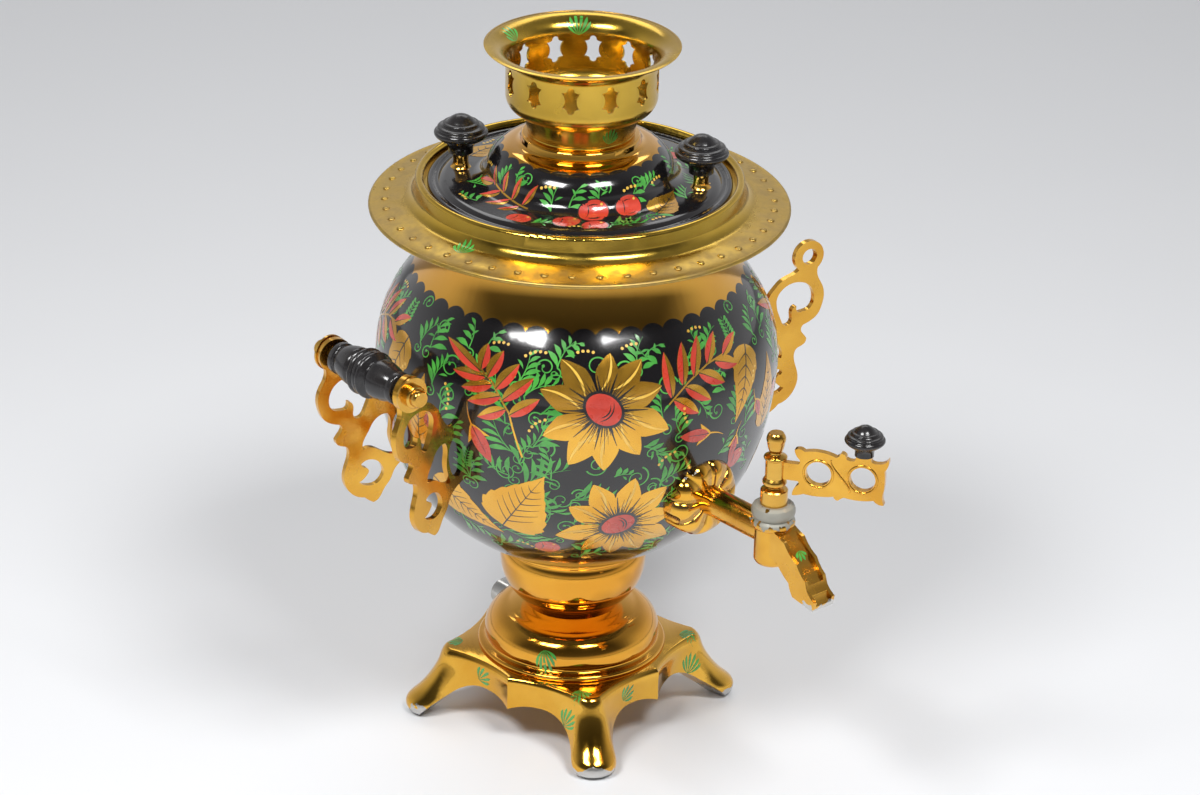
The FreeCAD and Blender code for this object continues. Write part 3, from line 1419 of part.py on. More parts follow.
def make_heater():
    floor_top = number(body_foot + dim.floor_thickness)
    level = floor_top + dim.heater_rise.value
    leg, bend, big = dim.heater_leg_offset.value, dim.heater_bend_radius.value, dim.heater_ring_radius.value
    depth = math.sqrt((big - bend) ** 2 - (leg + bend) ** 2)
    low = number(body_foot) - dim.heater_drop.value
    turn = min(9.0, depth - 1.0)

    def half(side):
        centre = FreeCAD.Vector(side * (leg + bend), -depth, level)
        outward = FreeCAD.Vector(centre.x, centre.y, 0).normalize()
        meet = FreeCAD.Vector(0, 0, level) + outward * big
        start = FreeCAD.Vector(side * leg, -depth, level)
        angle0, angle1 = math.pi, math.atan2(outward.y, side * outward.x)
        middle_angle = (-angle0 + angle1) / 2
        middle = centre + FreeCAD.Vector(side * math.cos(middle_angle), math.sin(middle_angle), 0) * bend
        rise = FreeCAD.Vector(side * leg, 0, low)
        top = FreeCAD.Vector(side * leg, 0, level - turn)
        knee = FreeCAD.Vector(side * leg, -turn, level)
        inner = FreeCAD.Vector(side * leg, -turn, level - turn)
        knee_middle = inner + FreeCAD.Vector(0, math.sqrt(0.5), math.sqrt(0.5)) * turn
        return [
            Part.LineSegment(rise, top).toShape(),
            Part.Arc(top, knee_middle, knee).toShape(),
            Part.LineSegment(knee, start).toShape(),
            Part.Arc(start, middle, meet).toShape(),
        ], meet

    right, right_meet = half(1)
    left, left_meet = half(-1)
    around = Part.Arc(right_meet, FreeCAD.Vector(0, big, level), left_meet).toShape()
    path = Part.Wire(right + [around] + left[::-1])
    start = FreeCAD.Vector(leg, 0, low)
    profile = Part.Wire(Part.makeCircle(dim.heater_tube_radius.value, start, UP))
    keep("heater_element", solid("heater_element_shape", path.makePipeShell([profile], True, False)))


def heater_legs(height):
    leg = dim.heater_leg_offset.value
    return [FreeCAD.Placement(FreeCAD.Vector(side * leg, 0, number(height)), FreeCAD.Rotation()) for side in (1, -1)]


def make_heater_fixings():
    bore = dim.heater_tube_radius + dim.fit_gap
    flange, thick = dim.gland_flange_radius, dim.gland_flange_height
    seal = dim.heater_gasket_height
    floor_top = body_foot + dim.floor_thickness
    below = dim.floor_thickness + seal + dim.heater_nut_height + 1.0
    gland = [
        (bore, -below),
        (dim.gland_radius, -below),
        (dim.gland_radius, seal),
        (flange, seal),
        (flange, seal + thick),
        (bore, seal + thick),
    ]
    gland_master = turned("gland_master", gland)
    keep("heater_glands", group("heater_glands_group", gland_master, heater_legs(floor_top)))
    seal_master = turned("heater_gasket_master", ring(dim.gland_radius + dim.fit_gap, flange, 0, seal))
    keep("heater_gaskets", group("heater_gaskets_group", seal_master, heater_legs(floor_top)))
    nut = hexagon("heater_nut_master", dim.heater_nut_flats, dim.heater_nut_height, dim.gland_radius + dim.fit_gap)
    keep("heater_nuts", group("heater_nuts_group", nut, heater_legs(body_foot - dim.heater_nut_height)))
    post = turned("terminal_master", ring(0, dim.terminal_radius, 0, dim.terminal_length))
    keep("heater_terminals", group("heater_terminals_group", post, heater_legs(body_foot - dim.heater_drop - dim.terminal_length)))


def make_inlet():
    height = dim.inlet_height
    depth = dim.inlet_front - dim.inlet_back
    outline = stadium(dim.inlet_half_width, dim.inlet_half_height, 0)
    shroud = padded("inlet_shroud_body", outline, depth)
    hollow = new_sketch(shroud, "inlet_shroud_inside", "XY_Plane")
    draw(hollow, stadium(dim.inlet_half_width - wall, dim.inlet_half_height - wall, 0))
    cut = shroud.newObject("PartDesign::Pocket", "inlet_shroud_hollow")
    cut.Profile = hollow
    cut.Type = 1
    cut.Reversed = True
    shroud.Placement = place_inlet(0)
    keep("inlet_shroud", shroud)
    gap = dim.fit_gap
    block = stadium(dim.inlet_half_width - wall - gap, dim.inlet_half_height - wall - gap, 0)
    holes = [(dim.pin_spacing / 2 * side, 0, dim.pin_radius + gap) for side in (1, -1)]
    insulator = padded("inlet_insulator_body", block, dim.inlet_block, holes=holes)
    insulator.Placement = place_inlet(1.0)
    keep("inlet_insulator", insulator)
    length = dim.inlet_front - dim.inlet_back - 1.5 + dim.pin_nut_height + 2.5
    tail = dim.pin_nut_height + 2.5
    pin = [(0, -tail), (dim.pin_radius, -tail), (dim.pin_radius, length - tail - 1.2), (dim.pin_radius * 0.4, length - tail, 0.15), (0, length - tail)]
    pin_master = turned("inlet_pin_master", pin)
    keep("inlet_pins", group("inlet_pins_group", pin_master, inlet_places(1.0)))
    nut = hexagon("pin_nut_master", dim.pin_nut_flats, dim.pin_nut_height, dim.pin_radius + gap)
    keep("inlet_pin_nuts", group("inlet_pin_nuts_group", nut, inlet_places(1.0 - dim.pin_nut_height.value)))


def place_inlet(shift):
    turn = FreeCAD.Rotation(FreeCAD.Vector(1, 0, 0), -90)
    return FreeCAD.Placement(FreeCAD.Vector(0, dim.inlet_back.value + shift, dim.inlet_height.value), turn)


def inlet_places(shift):
    half = dim.pin_spacing.value / 2
    places = []
    for side in (1, -1):
        place = place_inlet(shift)
        place.Base = place.Base + FreeCAD.Vector(side * half, 0, 0)
        places.append(place)
    return places


def make_leads():
    leg, half = dim.heater_leg_offset.value, dim.pin_spacing.value / 2
    top = number(body_foot - dim.heater_drop - dim.terminal_length)
    pin_tail = dim.inlet_back.value + 1.0 - dim.pin_nut_height.value - 2.5
    height = dim.inlet_height.value
    for name, side in (("lead_right", 1), ("lead_left", -1)):
        points = [
            FreeCAD.Vector(side * leg, 0, top),
            FreeCAD.Vector(side * leg, 0, top - 5),
            FreeCAD.Vector(side * (leg - 4.5), 4, top - 13),
            FreeCAD.Vector(side * 11.5, 8.5, height + 9),
            FreeCAD.Vector(side * (half + 0.5), 14, height + 1.2),
            FreeCAD.Vector(side * half, 19, height),
            FreeCAD.Vector(side * half, pin_tail, height),
        ]
        keep(name, solid(name + "_shape", tube(points, dim.lead_radius.value)))


def check_and_write():
    document.recompute()
    bad = [item.Name for item in document.Objects if "Invalid" in item.State or "Error" in item.State]
    if bad:
        raise RuntimeError("not recomputed: %s" % bad)
    os.makedirs("parts", exist_ok=True)
    for node, feature in nodes.items():
        shape = feature.Shape
        if shape.isNull() or not shape.isValid() or not shape.Solids:
            raise RuntimeError("bad shape: %s" % node)
        print("%-22s %2d solid(s) %10.1f mm3" % (node, len(shape.Solids), shape.Volume))
    for node, feature in nodes.items():
        feature.Shape.exportStep("parts/%s.step" % node)


make_base()
make_pedestal()
make_collar()
make_body()
make_floor()
make_ties()
make_gallery()
make_lid()
make_lid_knobs()
make_crown()
make_tap_body()
make_tap_plug()
make_key()
make_rosette()
make_tap_fixings()
make_brackets()
make_stud_fixings()
make_grip()
make_heater()
make_heater_fixings()
make_inlet()
make_leads()
check_and_write()
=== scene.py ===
# %% [markdown]
# A painted electric samovar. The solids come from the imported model, so this lesson is about finishes: lacquered
# gold, gloss black, and a folk flower painting that is laid on the round body as thin strokes of mesh.

# %% Load the solids and keep their box
import json
import math

import bpy
from mathutils import Matrix, Vector
from mathutils.bvhtree import BVHTree

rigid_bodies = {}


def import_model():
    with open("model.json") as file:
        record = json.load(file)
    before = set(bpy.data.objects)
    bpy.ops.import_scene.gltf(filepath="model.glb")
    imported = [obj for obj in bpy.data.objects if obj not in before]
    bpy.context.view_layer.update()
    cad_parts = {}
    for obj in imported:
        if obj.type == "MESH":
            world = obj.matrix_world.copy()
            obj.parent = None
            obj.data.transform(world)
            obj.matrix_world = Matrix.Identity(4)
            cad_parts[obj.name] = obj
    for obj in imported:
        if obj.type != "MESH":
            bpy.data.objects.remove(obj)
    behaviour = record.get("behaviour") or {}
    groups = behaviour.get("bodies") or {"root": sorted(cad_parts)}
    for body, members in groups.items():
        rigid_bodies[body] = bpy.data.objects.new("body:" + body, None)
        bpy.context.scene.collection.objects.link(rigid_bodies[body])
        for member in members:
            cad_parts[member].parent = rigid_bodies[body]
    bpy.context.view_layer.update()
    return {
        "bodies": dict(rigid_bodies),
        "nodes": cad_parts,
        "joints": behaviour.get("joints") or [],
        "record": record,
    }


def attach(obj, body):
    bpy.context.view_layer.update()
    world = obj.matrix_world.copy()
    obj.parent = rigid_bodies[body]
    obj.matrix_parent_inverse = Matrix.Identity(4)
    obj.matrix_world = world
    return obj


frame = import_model()
nodes = frame["nodes"]
MM = 0.001

# %% [markdown]
# The camera stands where the photographer stood: two metres away, 25 degrees above, with a long lens. Its three
# directions are worked out from pitch, turn and roll, because a matrix of those directions places it exactly.

# %% Camera
CAMERA_REACH = 2.01424
CAMERA_HEIGHT = 1.12303
CAMERA_PITCH = 0.4392
CAMERA_TURN = 0.0061
CAMERA_ROLL = 0.0218
TAP_TURN = math.radians(-41.3)
LENS_MM = 130.45


def camera_matrix():
    forward = Vector((math.sin(CAMERA_TURN) * math.cos(CAMERA_PITCH),
        math.cos(CAMERA_TURN) * math.cos(CAMERA_PITCH), -math.sin(CAMERA_PITCH)))
    level = Vector((math.cos(CAMERA_TURN), -math.sin(CAMERA_TURN), 0))
    above = level.cross(forward)
    right = level * math.cos(CAMERA_ROLL) + above * math.sin(CAMERA_ROLL)
    up = above * math.cos(CAMERA_ROLL) - level * math.sin(CAMERA_ROLL)
    axes = Matrix((right, up, -forward)).transposed().to_4x4()
    place = Matrix.Translation((0, -CAMERA_REACH, CAMERA_HEIGHT))
    return Matrix.Rotation(TAP_TURN, 4, "Z") @ place @ axes


scene = bpy.context.scene
lens = bpy.data.cameras.new("camera")
lens.lens = LENS_MM
lens.sensor_width = 36
lens.clip_end = 50
camera = bpy.data.objects.new("camera", lens)
scene.collection.objects.link(camera)
camera.matrix_world = camera_matrix()
scene.camera = camera
scene.view_settings.view_transform = "Standard"
print("camera at", [round(v, 3) for v in camera.location])

# %% [markdown]
# Polished metal only looks like metal when it has something to mirror. Two soft boxes stand left and right of the
# camera, as the twin highlights on the real lid show. The room is pale near the floor, and dark overhead on the
# camera's side, so that upward faces go deep gold and upright ones stay bright.

# %% Lights and room
FLOOR_COLOUR = (0.84, 0.85, 0.87, 1)


def soft_box(name, azimuth, elevation, reach, size, power):
    """A square lamp that faces the samovar's middle."""
    lamp = bpy.data.lights.new(name, "AREA")
    lamp.shape = "RECTANGLE"
    lamp.size, lamp.size_y = size
    lamp.energy = power
    aim = Vector((0, 0, 0.18))
    a, e = math.radians(azimuth), math.radians(elevation)
    away = Vector((math.cos(a) * math.cos(e), math.sin(a) * math.cos(e), math.sin(e)))
    thing = bpy.data.objects.new(name, lamp)
    scene.collection.objects.link(thing)
    thing.location = aim + away * reach
    thing.rotation_mode = "QUATERNION"
    thing.rotation_quaternion = (-away).to_track_quat("-Z", "Y")


VIEW_AZIMUTH = -131.3
SOFT_BOXES = {
    "soft_box_left": (-38, 52, 1.6, (0.55, 0.36), 16),
    "soft_box_right": (34, 55, 1.6, (0.55, 0.36), 16),
    "soft_box_back": (180, 48, 2.2, (1.6, 0.8), 8),
}
for name, (turn, elevation, reach, size, power) in SOFT_BOXES.items():
    soft_box(name, VIEW_AZIMUTH + turn, elevation, reach, size, power)

world = bpy.data.worlds.new("room")
scene.world = world
world.use_nodes = True
tree = world.node_tree
background = tree.nodes["Background"]
direction = tree.nodes.new("ShaderNodeTexCoord")
split = tree.nodes.new("ShaderNodeSeparateXYZ")
tree.links.new(direction.outputs["Generated"], split.inputs[0])
toward_camera = tree.nodes.new("ShaderNodeVectorMath")
toward_camera.operation = "DOT_PRODUCT"
toward_camera.inputs[1].default_value = (math.cos(math.radians(VIEW_AZIMUTH)),
    math.sin(math.radians(VIEW_AZIMUTH)), 0)
tree.links.new(direction.outputs["Generated"], toward_camera.inputs[0])
side_share = tree.nodes.new("ShaderNodeMapRange")
side_share.interpolation_type = "SMOOTHSTEP"
side_share.inputs["From Min"].default_value = -0.25
side_share.inputs["From Max"].default_value = 0.45
tree.links.new(toward_camera.outputs["Value"], side_share.inputs["Value"])
BACK_OF_ROOM = ((0.0, 0.80), (0.30, 0.66), (0.62, 0.36), (0.90, 0.22))
CAMERA_SIDE = ((0.0, 0.78), (0.09, 0.55), (0.22, 0.10), (0.75, 0.035))
ROOM_STRENGTH = 0.88
ramps = []
for stops in (BACK_OF_ROOM, CAMERA_SIDE):
    ramp = tree.nodes.new("ShaderNodeValToRGB")
    tree.links.new(split.outputs["Z"], ramp.inputs["Fac"])
    while len(ramp.color_ramp.elements) < len(stops):
        ramp.color_ramp.elements.new(0.5)
    for element, (position, grey) in zip(ramp.color_ramp.elements, stops):
        element.position = position
    for element, (position, grey) in zip(ramp.color_ramp.elements, stops):
        element.color = (grey, grey, grey * 1.02, 1)
    ramps.append(ramp)
room = tree.nodes.new("ShaderNodeMix")
room.data_type = "RGBA"
tree.links.new(side_share.outputs["Result"], room.inputs[0])
tree.links.new(ramps[0].outputs["Color"], room.inputs[6])
tree.links.new(ramps[1].outputs["Color"], room.inputs[7])
tree.links.new(room.outputs[2], background.inputs["Color"])
background.inputs["Strength"].default_value = ROOM_STRENGTH

floor_mesh = bpy.data.meshes.new("floor")
FLOOR_HALF = 12.0
corners = [(-FLOOR_HALF, -FLOOR_HALF, 0), (FLOOR_HALF, -FLOOR_HALF, 0), (FLOOR_HALF, FLOOR_HALF, 0),
    (-FLOOR_HALF, FLOOR_HALF, 0)]
floor_mesh.from_pydata([(x, y, -0.0002) for x, y, z in corners], [], [(0, 1, 2, 3)])
floor = bpy.data.objects.new("floor", floor_mesh)
scene.collection.objects.link(floor)

# %% [markdown]
# Three effects are used by several finishes, so each is a node group with named inputs, built once. The first
# gives slow changes of tone, the second the fine rings that polishing on a lathe leaves, the third a worn zone
# between two heights. All read Object coordinates, so the pattern stays put when a piece moves.

# %% Shared effects


def new_group(name, inputs, outputs):
    group = bpy.data.node_groups.new(name, "ShaderNodeTree")
    for label, value in inputs.items():
        socket = group.interface.new_socket(label, in_out="INPUT", socket_type="NodeSocketFloat")
        socket.default_value = value
    for label in outputs:
        group.interface.new_socket(label, in_out="OUTPUT", socket_type="NodeSocketFloat")
    return group, group.nodes.new("NodeGroupInput"), group.nodes.new("NodeGroupOutput")


def maths(tree, operation, first, second=None):
    node = tree.nodes.new("ShaderNodeMath")
    node.operation = operation
    for socket, value in zip(node.inputs, (first, second)):
        if value is None:
            continue
        if isinstance(value, (int, float)):
            socket.default_value = value
        else:
            tree.links.new(value, socket)
    return node.outputs[0]


def object_axes(tree):
    """The X, Y and Z of Object coordinates."""
    place = tree.nodes.new("ShaderNodeTexCoord")
    split_place = tree.nodes.new("ShaderNodeSeparateXYZ")
    tree.links.new(place.outputs["Object"], split_place.inputs[0])
    return [split_place.outputs[label] for label in "XYZ"]


def reach_of(tree, x, y):
    """Distance from an upright axis."""
    square = maths(tree, "ADD", maths(tree, "MULTIPLY", x, x), maths(tree, "MULTIPLY", y, y))
    return maths(tree, "SQRT", square)


def make_tone_group():
    group, given, result = new_group("tone_change", {"Scale": 20.0, "Low": 0.0, "High": 1.0}, ["Value"])
    place = group.nodes.new("ShaderNodeTexCoord")
    noise = group.nodes.new("ShaderNodeTexNoise")
    noise.inputs["Detail"].default_value = 5
    noise.inputs["Roughness"].default_value = 0.55
    spread = group.nodes.new("ShaderNodeMapRange")
    spread.inputs["From Min"].default_value = 0.36
    spread.inputs["From Max"].default_value = 0.64
    group.links.new(place.outputs["Object"], noise.inputs["Vector"])
    group.links.new(given.outputs["Scale"], noise.inputs["Scale"])
    group.links.new(noise.outputs["Fac"], spread.inputs["Value"])
    group.links.new(given.outputs["Low"], spread.inputs["To Min"])
    group.links.new(given.outputs["High"], spread.inputs["To Max"])
    group.links.new(spread.outputs["Result"], result.inputs["Value"])
    return group


def make_lathe_group():
    group, given, result = new_group("lathe_rings", {"Scale": 900.0}, ["Height"])
    x, y, z = object_axes(group)
    line = maths(group, "ADD", z, maths(group, "MULTIPLY", reach_of(group, x, y), 0.8))
    across = maths(group, "MULTIPLY", maths(group, "ARCTAN2", y, x), 0.004)
    join = group.nodes.new("ShaderNodeCombineXYZ")
    group.links.new(line, join.inputs["X"])
    group.links.new(across, join.inputs["Y"])
    noise = group.nodes.new("ShaderNodeTexNoise")
    noise.inputs["Detail"].default_value = 3
    group.links.new(join.outputs[0], noise.inputs["Vector"])
    group.links.new(given.outputs["Scale"], noise.inputs["Scale"])
    group.links.new(noise.outputs["Fac"], result.inputs["Height"])
    return group


def make_zone_group():
    """1 inside a band of heights, with a ragged edge."""
    group, given, result = new_group("worn_zone", {"Bottom": 0.0, "Top": 0.01, "Rag": 0.004,
        "Scale": 300.0}, ["Mask"])
    place = group.nodes.new("ShaderNodeTexCoord")
    noise = group.nodes.new("ShaderNodeTexNoise")
    noise.inputs["Detail"].default_value = 6
    group.links.new(place.outputs["Object"], noise.inputs["Vector"])
    group.links.new(given.outputs["Scale"], noise.inputs["Scale"])
    shift = maths(group, "MULTIPLY", maths(group, "SUBTRACT", noise.outputs["Fac"], 0.5),
        given.outputs["Rag"])
    height = maths(group, "ADD", object_axes(group)[2], shift)
    over = maths(group, "GREATER_THAN", height, given.outputs["Bottom"])
    under = maths(group, "LESS_THAN", height, given.outputs["Top"])
    group.links.new(maths(group, "MULTIPLY", over, under), result.inputs["Mask"])
    return group


TONE = make_tone_group()
LATHE = make_lathe_group()
ZONE = make_zone_group()

# %% [markdown]
# Each finish starts from the same helper: a Principled shader whose colour runs between two tones, and whose
# roughness changes a little over the surface. Plain numbers stay on the shader's own sockets.

# %% Finish helpers


def use_group(tree, group, **values):
    node = tree.nodes.new("ShaderNodeGroup")
    node.node_tree = group
    for label, value in values.items():
        node.inputs[label].default_value = value
    return node


def mix_colour(tree, factor, first, second):
    node = tree.nodes.new("ShaderNodeMix")
    node.data_type = "RGBA"
    tree.links.new(factor, node.inputs[0])
    for socket, value in ((node.inputs[6], first), (node.inputs[7], second)):
        if isinstance(value, tuple):
            socket.default_value = (*value, 1)
        else:
            tree.links.new(value, socket)
    return node.outputs[2]


def mix_value(tree, factor, first, second):
    node = tree.nodes.new("ShaderNodeMix")
    tree.links.new(factor, node.inputs[0])
    for socket, value in ((node.inputs[2], first), (node.inputs[3], second)):
        if isinstance(value, (int, float)):
            socket.default_value = value
        else:
            tree.links.new(value, socket)
    return node.outputs[0]


def finish(name, dark, light, rough=(0.2, 0.3), metal=0.0, coat=0.0, scale=25.0, rings=0.0, grain=0.0):
    """A material with two tones of colour, a range of roughness, and lathe rings or cast grain as bumps."""
    material = bpy.data.materials.new(name)
    material.use_nodes = True
    tree = material.node_tree
    shader = tree.nodes["Principled BSDF"]
    shader.inputs["Metallic"].default_value = metal
    shader.inputs["Coat Weight"].default_value = coat
    shader.inputs["Coat Roughness"].default_value = 0.06
    tone = use_group(tree, TONE, Scale=scale).outputs["Value"]
    colour = mix_colour(tree, tone, dark, light)
    tree.links.new(colour, shader.inputs["Base Color"])
    haze = use_group(tree, TONE, Scale=scale * 3.1, Low=rough[0], High=rough[1])
    tree.links.new(haze.outputs["Value"], shader.inputs["Roughness"])
    height = None
    if rings:
        height, strength = use_group(tree, LATHE).outputs["Height"], rings
    if grain:
        height, strength = use_group(tree, TONE, Scale=700.0).outputs["Value"], grain
    if height is not None:
        bump = tree.nodes.new("ShaderNodeBump")
        bump.inputs["Strength"].default_value = strength
        bump.inputs["Distance"].default_value = 0.0001
        tree.links.new(height, bump.inputs["Height"])
        tree.links.new(bump.outputs["Normal"], shader.inputs["Normal"])
    return material


def overlay(material, mask, colour, rough=None, metal=None):
    """Lays another colour and roughness over a finish where the mask is 1."""
    tree = material.node_tree
    shader = tree.nodes["Principled BSDF"]
    old = shader.inputs["Base Color"].links[0].from_socket
    tree.links.new(mix_colour(tree, mask, old, colour), shader.inputs["Base Color"])
    if rough is not None:
        old = shader.inputs["Roughness"].links[0].from_socket
        tree.links.new(mix_value(tree, mask, old, rough), shader.inputs["Roughness"])
    if metal is not None:
        tree.links.new(mix_value(tree, mask, shader.inputs["Metallic"].default_value, metal),
            shader.inputs["Metallic"])
    return material


# %% [markdown]
# Metals first. The pedestal, base, brackets and tap are cast or spun metal under an amber lacquer, so their tone
# runs from orange to yellow gold. The crown and gallery are a browner brass with more polishing marks.

# %% Metal finishes
lacquered_cast = finish("lacquered_cast_gold", (0.66, 0.32, 0.035), (0.80, 0.44, 0.06), (0.14, 0.28),
    1.0, 0.3, 30, grain=0.08)
lacquered_turned = finish("lacquered_turned_gold", (0.78, 0.35, 0.030), (0.84, 0.43, 0.050),
    (0.07, 0.14), 1.0, 0.3, 14, rings=0.03)
base_gold = finish("base_gold", (0.70, 0.35, 0.030), (0.82, 0.46, 0.060), (0.08, 0.16), 1.0, 0.3, 22,
    grain=0.03)
worn_brass = finish("worn_brass", (0.60, 0.38, 0.050), (0.70, 0.46, 0.075), (0.12, 0.22), 1.0, 0.0, 26,
    rings=0.08)
crown_brass = finish("crown_brass", (0.54, 0.34, 0.045), (0.66, 0.43, 0.065), (0.16, 0.28), 1.0, 0.1,
    20, rings=0.12)
stem_brass = finish("stem_brass", (0.66, 0.36, 0.06), (0.76, 0.46, 0.09), (0.14, 0.26), 1.0, 0.2, 60)
plain_steel = finish("plain_steel", (0.42, 0.41, 0.39), (0.60, 0.59, 0.56), (0.25, 0.40), 1.0, 0.0, 60,
    grain=0.05)
tinned = finish("tinned_inside", (0.55, 0.54, 0.51), (0.72, 0.71, 0.68), (0.28, 0.42), 1.0, 0.0, 30)
nickel = finish("nickel_plate", (0.58, 0.57, 0.54), (0.70, 0.69, 0.66), (0.16, 0.26), 1.0, 0.0, 40)

bare_toe = use_group(base_gold.node_tree, ZONE, Bottom=-0.01, Top=0.0062, Rag=0.022, Scale=110)
overlay(base_gold, bare_toe.outputs["Mask"], (0.58, 0.57, 0.55), 0.34)
tap_gold = lacquered_cast.copy()
tap_gold.name = "tap_gold"
BARREL_REACH = -0.148
BARREL_COLLAR = 0.0128


def near_barrel(tree):
    """1 within a short distance of the tap barrel's own axis."""
    x, y, z = object_axes(tree)
    reach = reach_of(tree, x, maths(tree, "SUBTRACT", y, BARREL_REACH))
    return maths(tree, "LESS_THAN", reach, BARREL_COLLAR)


lime = use_group(tap_gold.node_tree, ZONE, Bottom=0.1650, Top=0.1760, Rag=0.016, Scale=300)
collar = maths(tap_gold.node_tree, "MULTIPLY", lime.outputs["Mask"], near_barrel(tap_gold.node_tree))
overlay(tap_gold, collar, (0.36, 0.35, 0.30), 0.6, 0.45)
bare_lip = use_group(tap_gold.node_tree, ZONE, Bottom=0.10, Top=0.1335, Rag=0.010, Scale=260)
overlay(tap_gold, bare_lip.outputs["Mask"], (0.60, 0.59, 0.56), 0.35)
SOIL_INNER_EDGE = 0.0885


def outside(tree, reach, rag):
    """1 farther from the Z axis than a ragged edge, fading in."""
    x, y, z = object_axes(tree)
    fade = tree.nodes.new("ShaderNodeMapRange")
    fade.inputs["From Min"].default_value = reach - rag
    fade.inputs["From Max"].default_value = reach + rag
    tree.links.new(reach_of(tree, x, y), fade.inputs["Value"])
    return fade.outputs["Result"]


soil_amount = use_group(worn_brass.node_tree, TONE, Scale=120.0, Low=0.35, High=0.95)
soil = maths(worn_brass.node_tree, "MULTIPLY", outside(worn_brass.node_tree, SOIL_INNER_EDGE, 0.003),
    soil_amount.outputs["Value"])
overlay(worn_brass, soil, (0.42, 0.29, 0.10), 0.52)

# %% [markdown]
# The rosette behind the tap is pressed into nine puffed lobes. The solid has their outline, and this bump swells
# the face between the notches.

# %% Rosette
ROSETTE_LOBES = 9
ROSETTE_HEIGHT = 0.158
ROSETTE_SWELL = 0.0035
rosette_gold = finish("rosette_gold", (0.74, 0.36, 0.035), (0.84, 0.45, 0.055), (0.08, 0.15), 1.0, 0.3, 14)
rosette_tree = rosette_gold.node_tree
x, y, z = object_axes(rosette_tree)
turn = maths(rosette_tree, "ARCTAN2", x, maths(rosette_tree, "SUBTRACT", z, ROSETTE_HEIGHT))
wave = maths(rosette_tree, "SINE", maths(rosette_tree, "MULTIPLY", turn, ROSETTE_LOBES / 2))
lobes = maths(rosette_tree, "POWER", maths(rosette_tree, "ABSOLUTE", wave), 0.5)
swell = rosette_tree.nodes.new("ShaderNodeBump")
swell.inputs["Strength"].default_value = 1.0
swell.inputs["Distance"].default_value = ROSETTE_SWELL
rosette_tree.links.new(lobes, swell.inputs["Height"])
rosette_tree.links.new(swell.outputs["Normal"], rosette_tree.nodes["Principled BSDF"].inputs["Normal"])

# %% [markdown]
# The black parts are glossy but not metal. The small inner parts only need plain finishes, as they are hardly seen.

# %% Black parts, rubber and the small things
black_lacquer = finish("black_lacquer", (0.010, 0.009, 0.010), (0.017, 0.015, 0.014), (0.16, 0.24), 0.0,
    1.0, 35)
black_plastic = finish("black_plastic", (0.012, 0.011, 0.012), (0.020, 0.018, 0.018), (0.16, 0.28), 0.0,
    0.2, 80)
rubber = finish("rubber", (0.03, 0.03, 0.03), (0.06, 0.06, 0.06), (0.6, 0.8), 0.0, 0.0, 100)
ceramic = finish("ceramic", (0.78, 0.74, 0.66), (0.86, 0.83, 0.77), (0.4, 0.5), 0.0, 0.0, 120)
sleeve = finish("wire_sleeve", (0.66, 0.63, 0.55), (0.78, 0.75, 0.68), (0.7, 0.85), 0.0, 0.0, 400)

floor_finish = finish("pale_floor", FLOOR_COLOUR[:3], FLOOR_COLOUR[:3], (0.5, 0.6), 0.0, 0.0, 3)
floor_mesh.materials.append(floor_finish)

# %% [markdown]
# The body is gold metal with black lacquer brushed over it up to a scalloped line, so one material holds both.
# The line is worked out in the shader: the angle round the axis drives a row of half sines, which are the lobes.

# %% Scalloped border between gold and black


def scalloped(material, level, lobes, rise, by_radius=False):
    """Mask that is 1 on the black side of a scalloped line round the Z axis."""
    tree = material.node_tree
    x, y, z = object_axes(tree)
    angle = maths(tree, "MULTIPLY", maths(tree, "ARCTAN2", y, x), lobes / 2)
    lobe = maths(tree, "POWER", maths(tree, "ABSOLUTE", maths(tree, "SINE", angle)), 0.6)
    line = maths(tree, "ADD", maths(tree, "MULTIPLY", lobe, rise), level)
    if not by_radius:
        return maths(tree, "LESS_THAN", z, line)
    return maths(tree, "GREATER_THAN", reach_of(tree, x, y), line)


BODY_BORDER = 0.2495
BODY_LOBES = 46
BODY_LOBE_RISE = 0.0030
LID_BORDER = 0.0405
LID_LOBES = 26
LID_LOBE_RISE = -0.0020


def painted_metal(name, mask_of):
    material = finish(name, (0.78, 0.37, 0.035), (0.84, 0.45, 0.055), (0.07, 0.14), 1.0, 0.6, 14,
        rings=0.03)
    mask = mask_of(material)
    return overlay(material, mask, (0.008, 0.007, 0.008), 0.14, 0.0)


painted_body = painted_metal("painted_body", lambda m: scalloped(m, BODY_BORDER, BODY_LOBES,
    BODY_LOBE_RISE))
painted_lid = painted_metal("painted_lid", lambda m: scalloped(m, LID_BORDER, LID_LOBES, LID_LOBE_RISE,
    True))

# %% [markdown]
# A solid that comes from CAD arrives as loose triangles, and polished metal would show every one. A small
# Geometry Nodes tree joins the corners and shades the surface smooth, except at real edges.

# %% Smooth shading for the CAD solids
SHARP_ANGLE = math.radians(28)


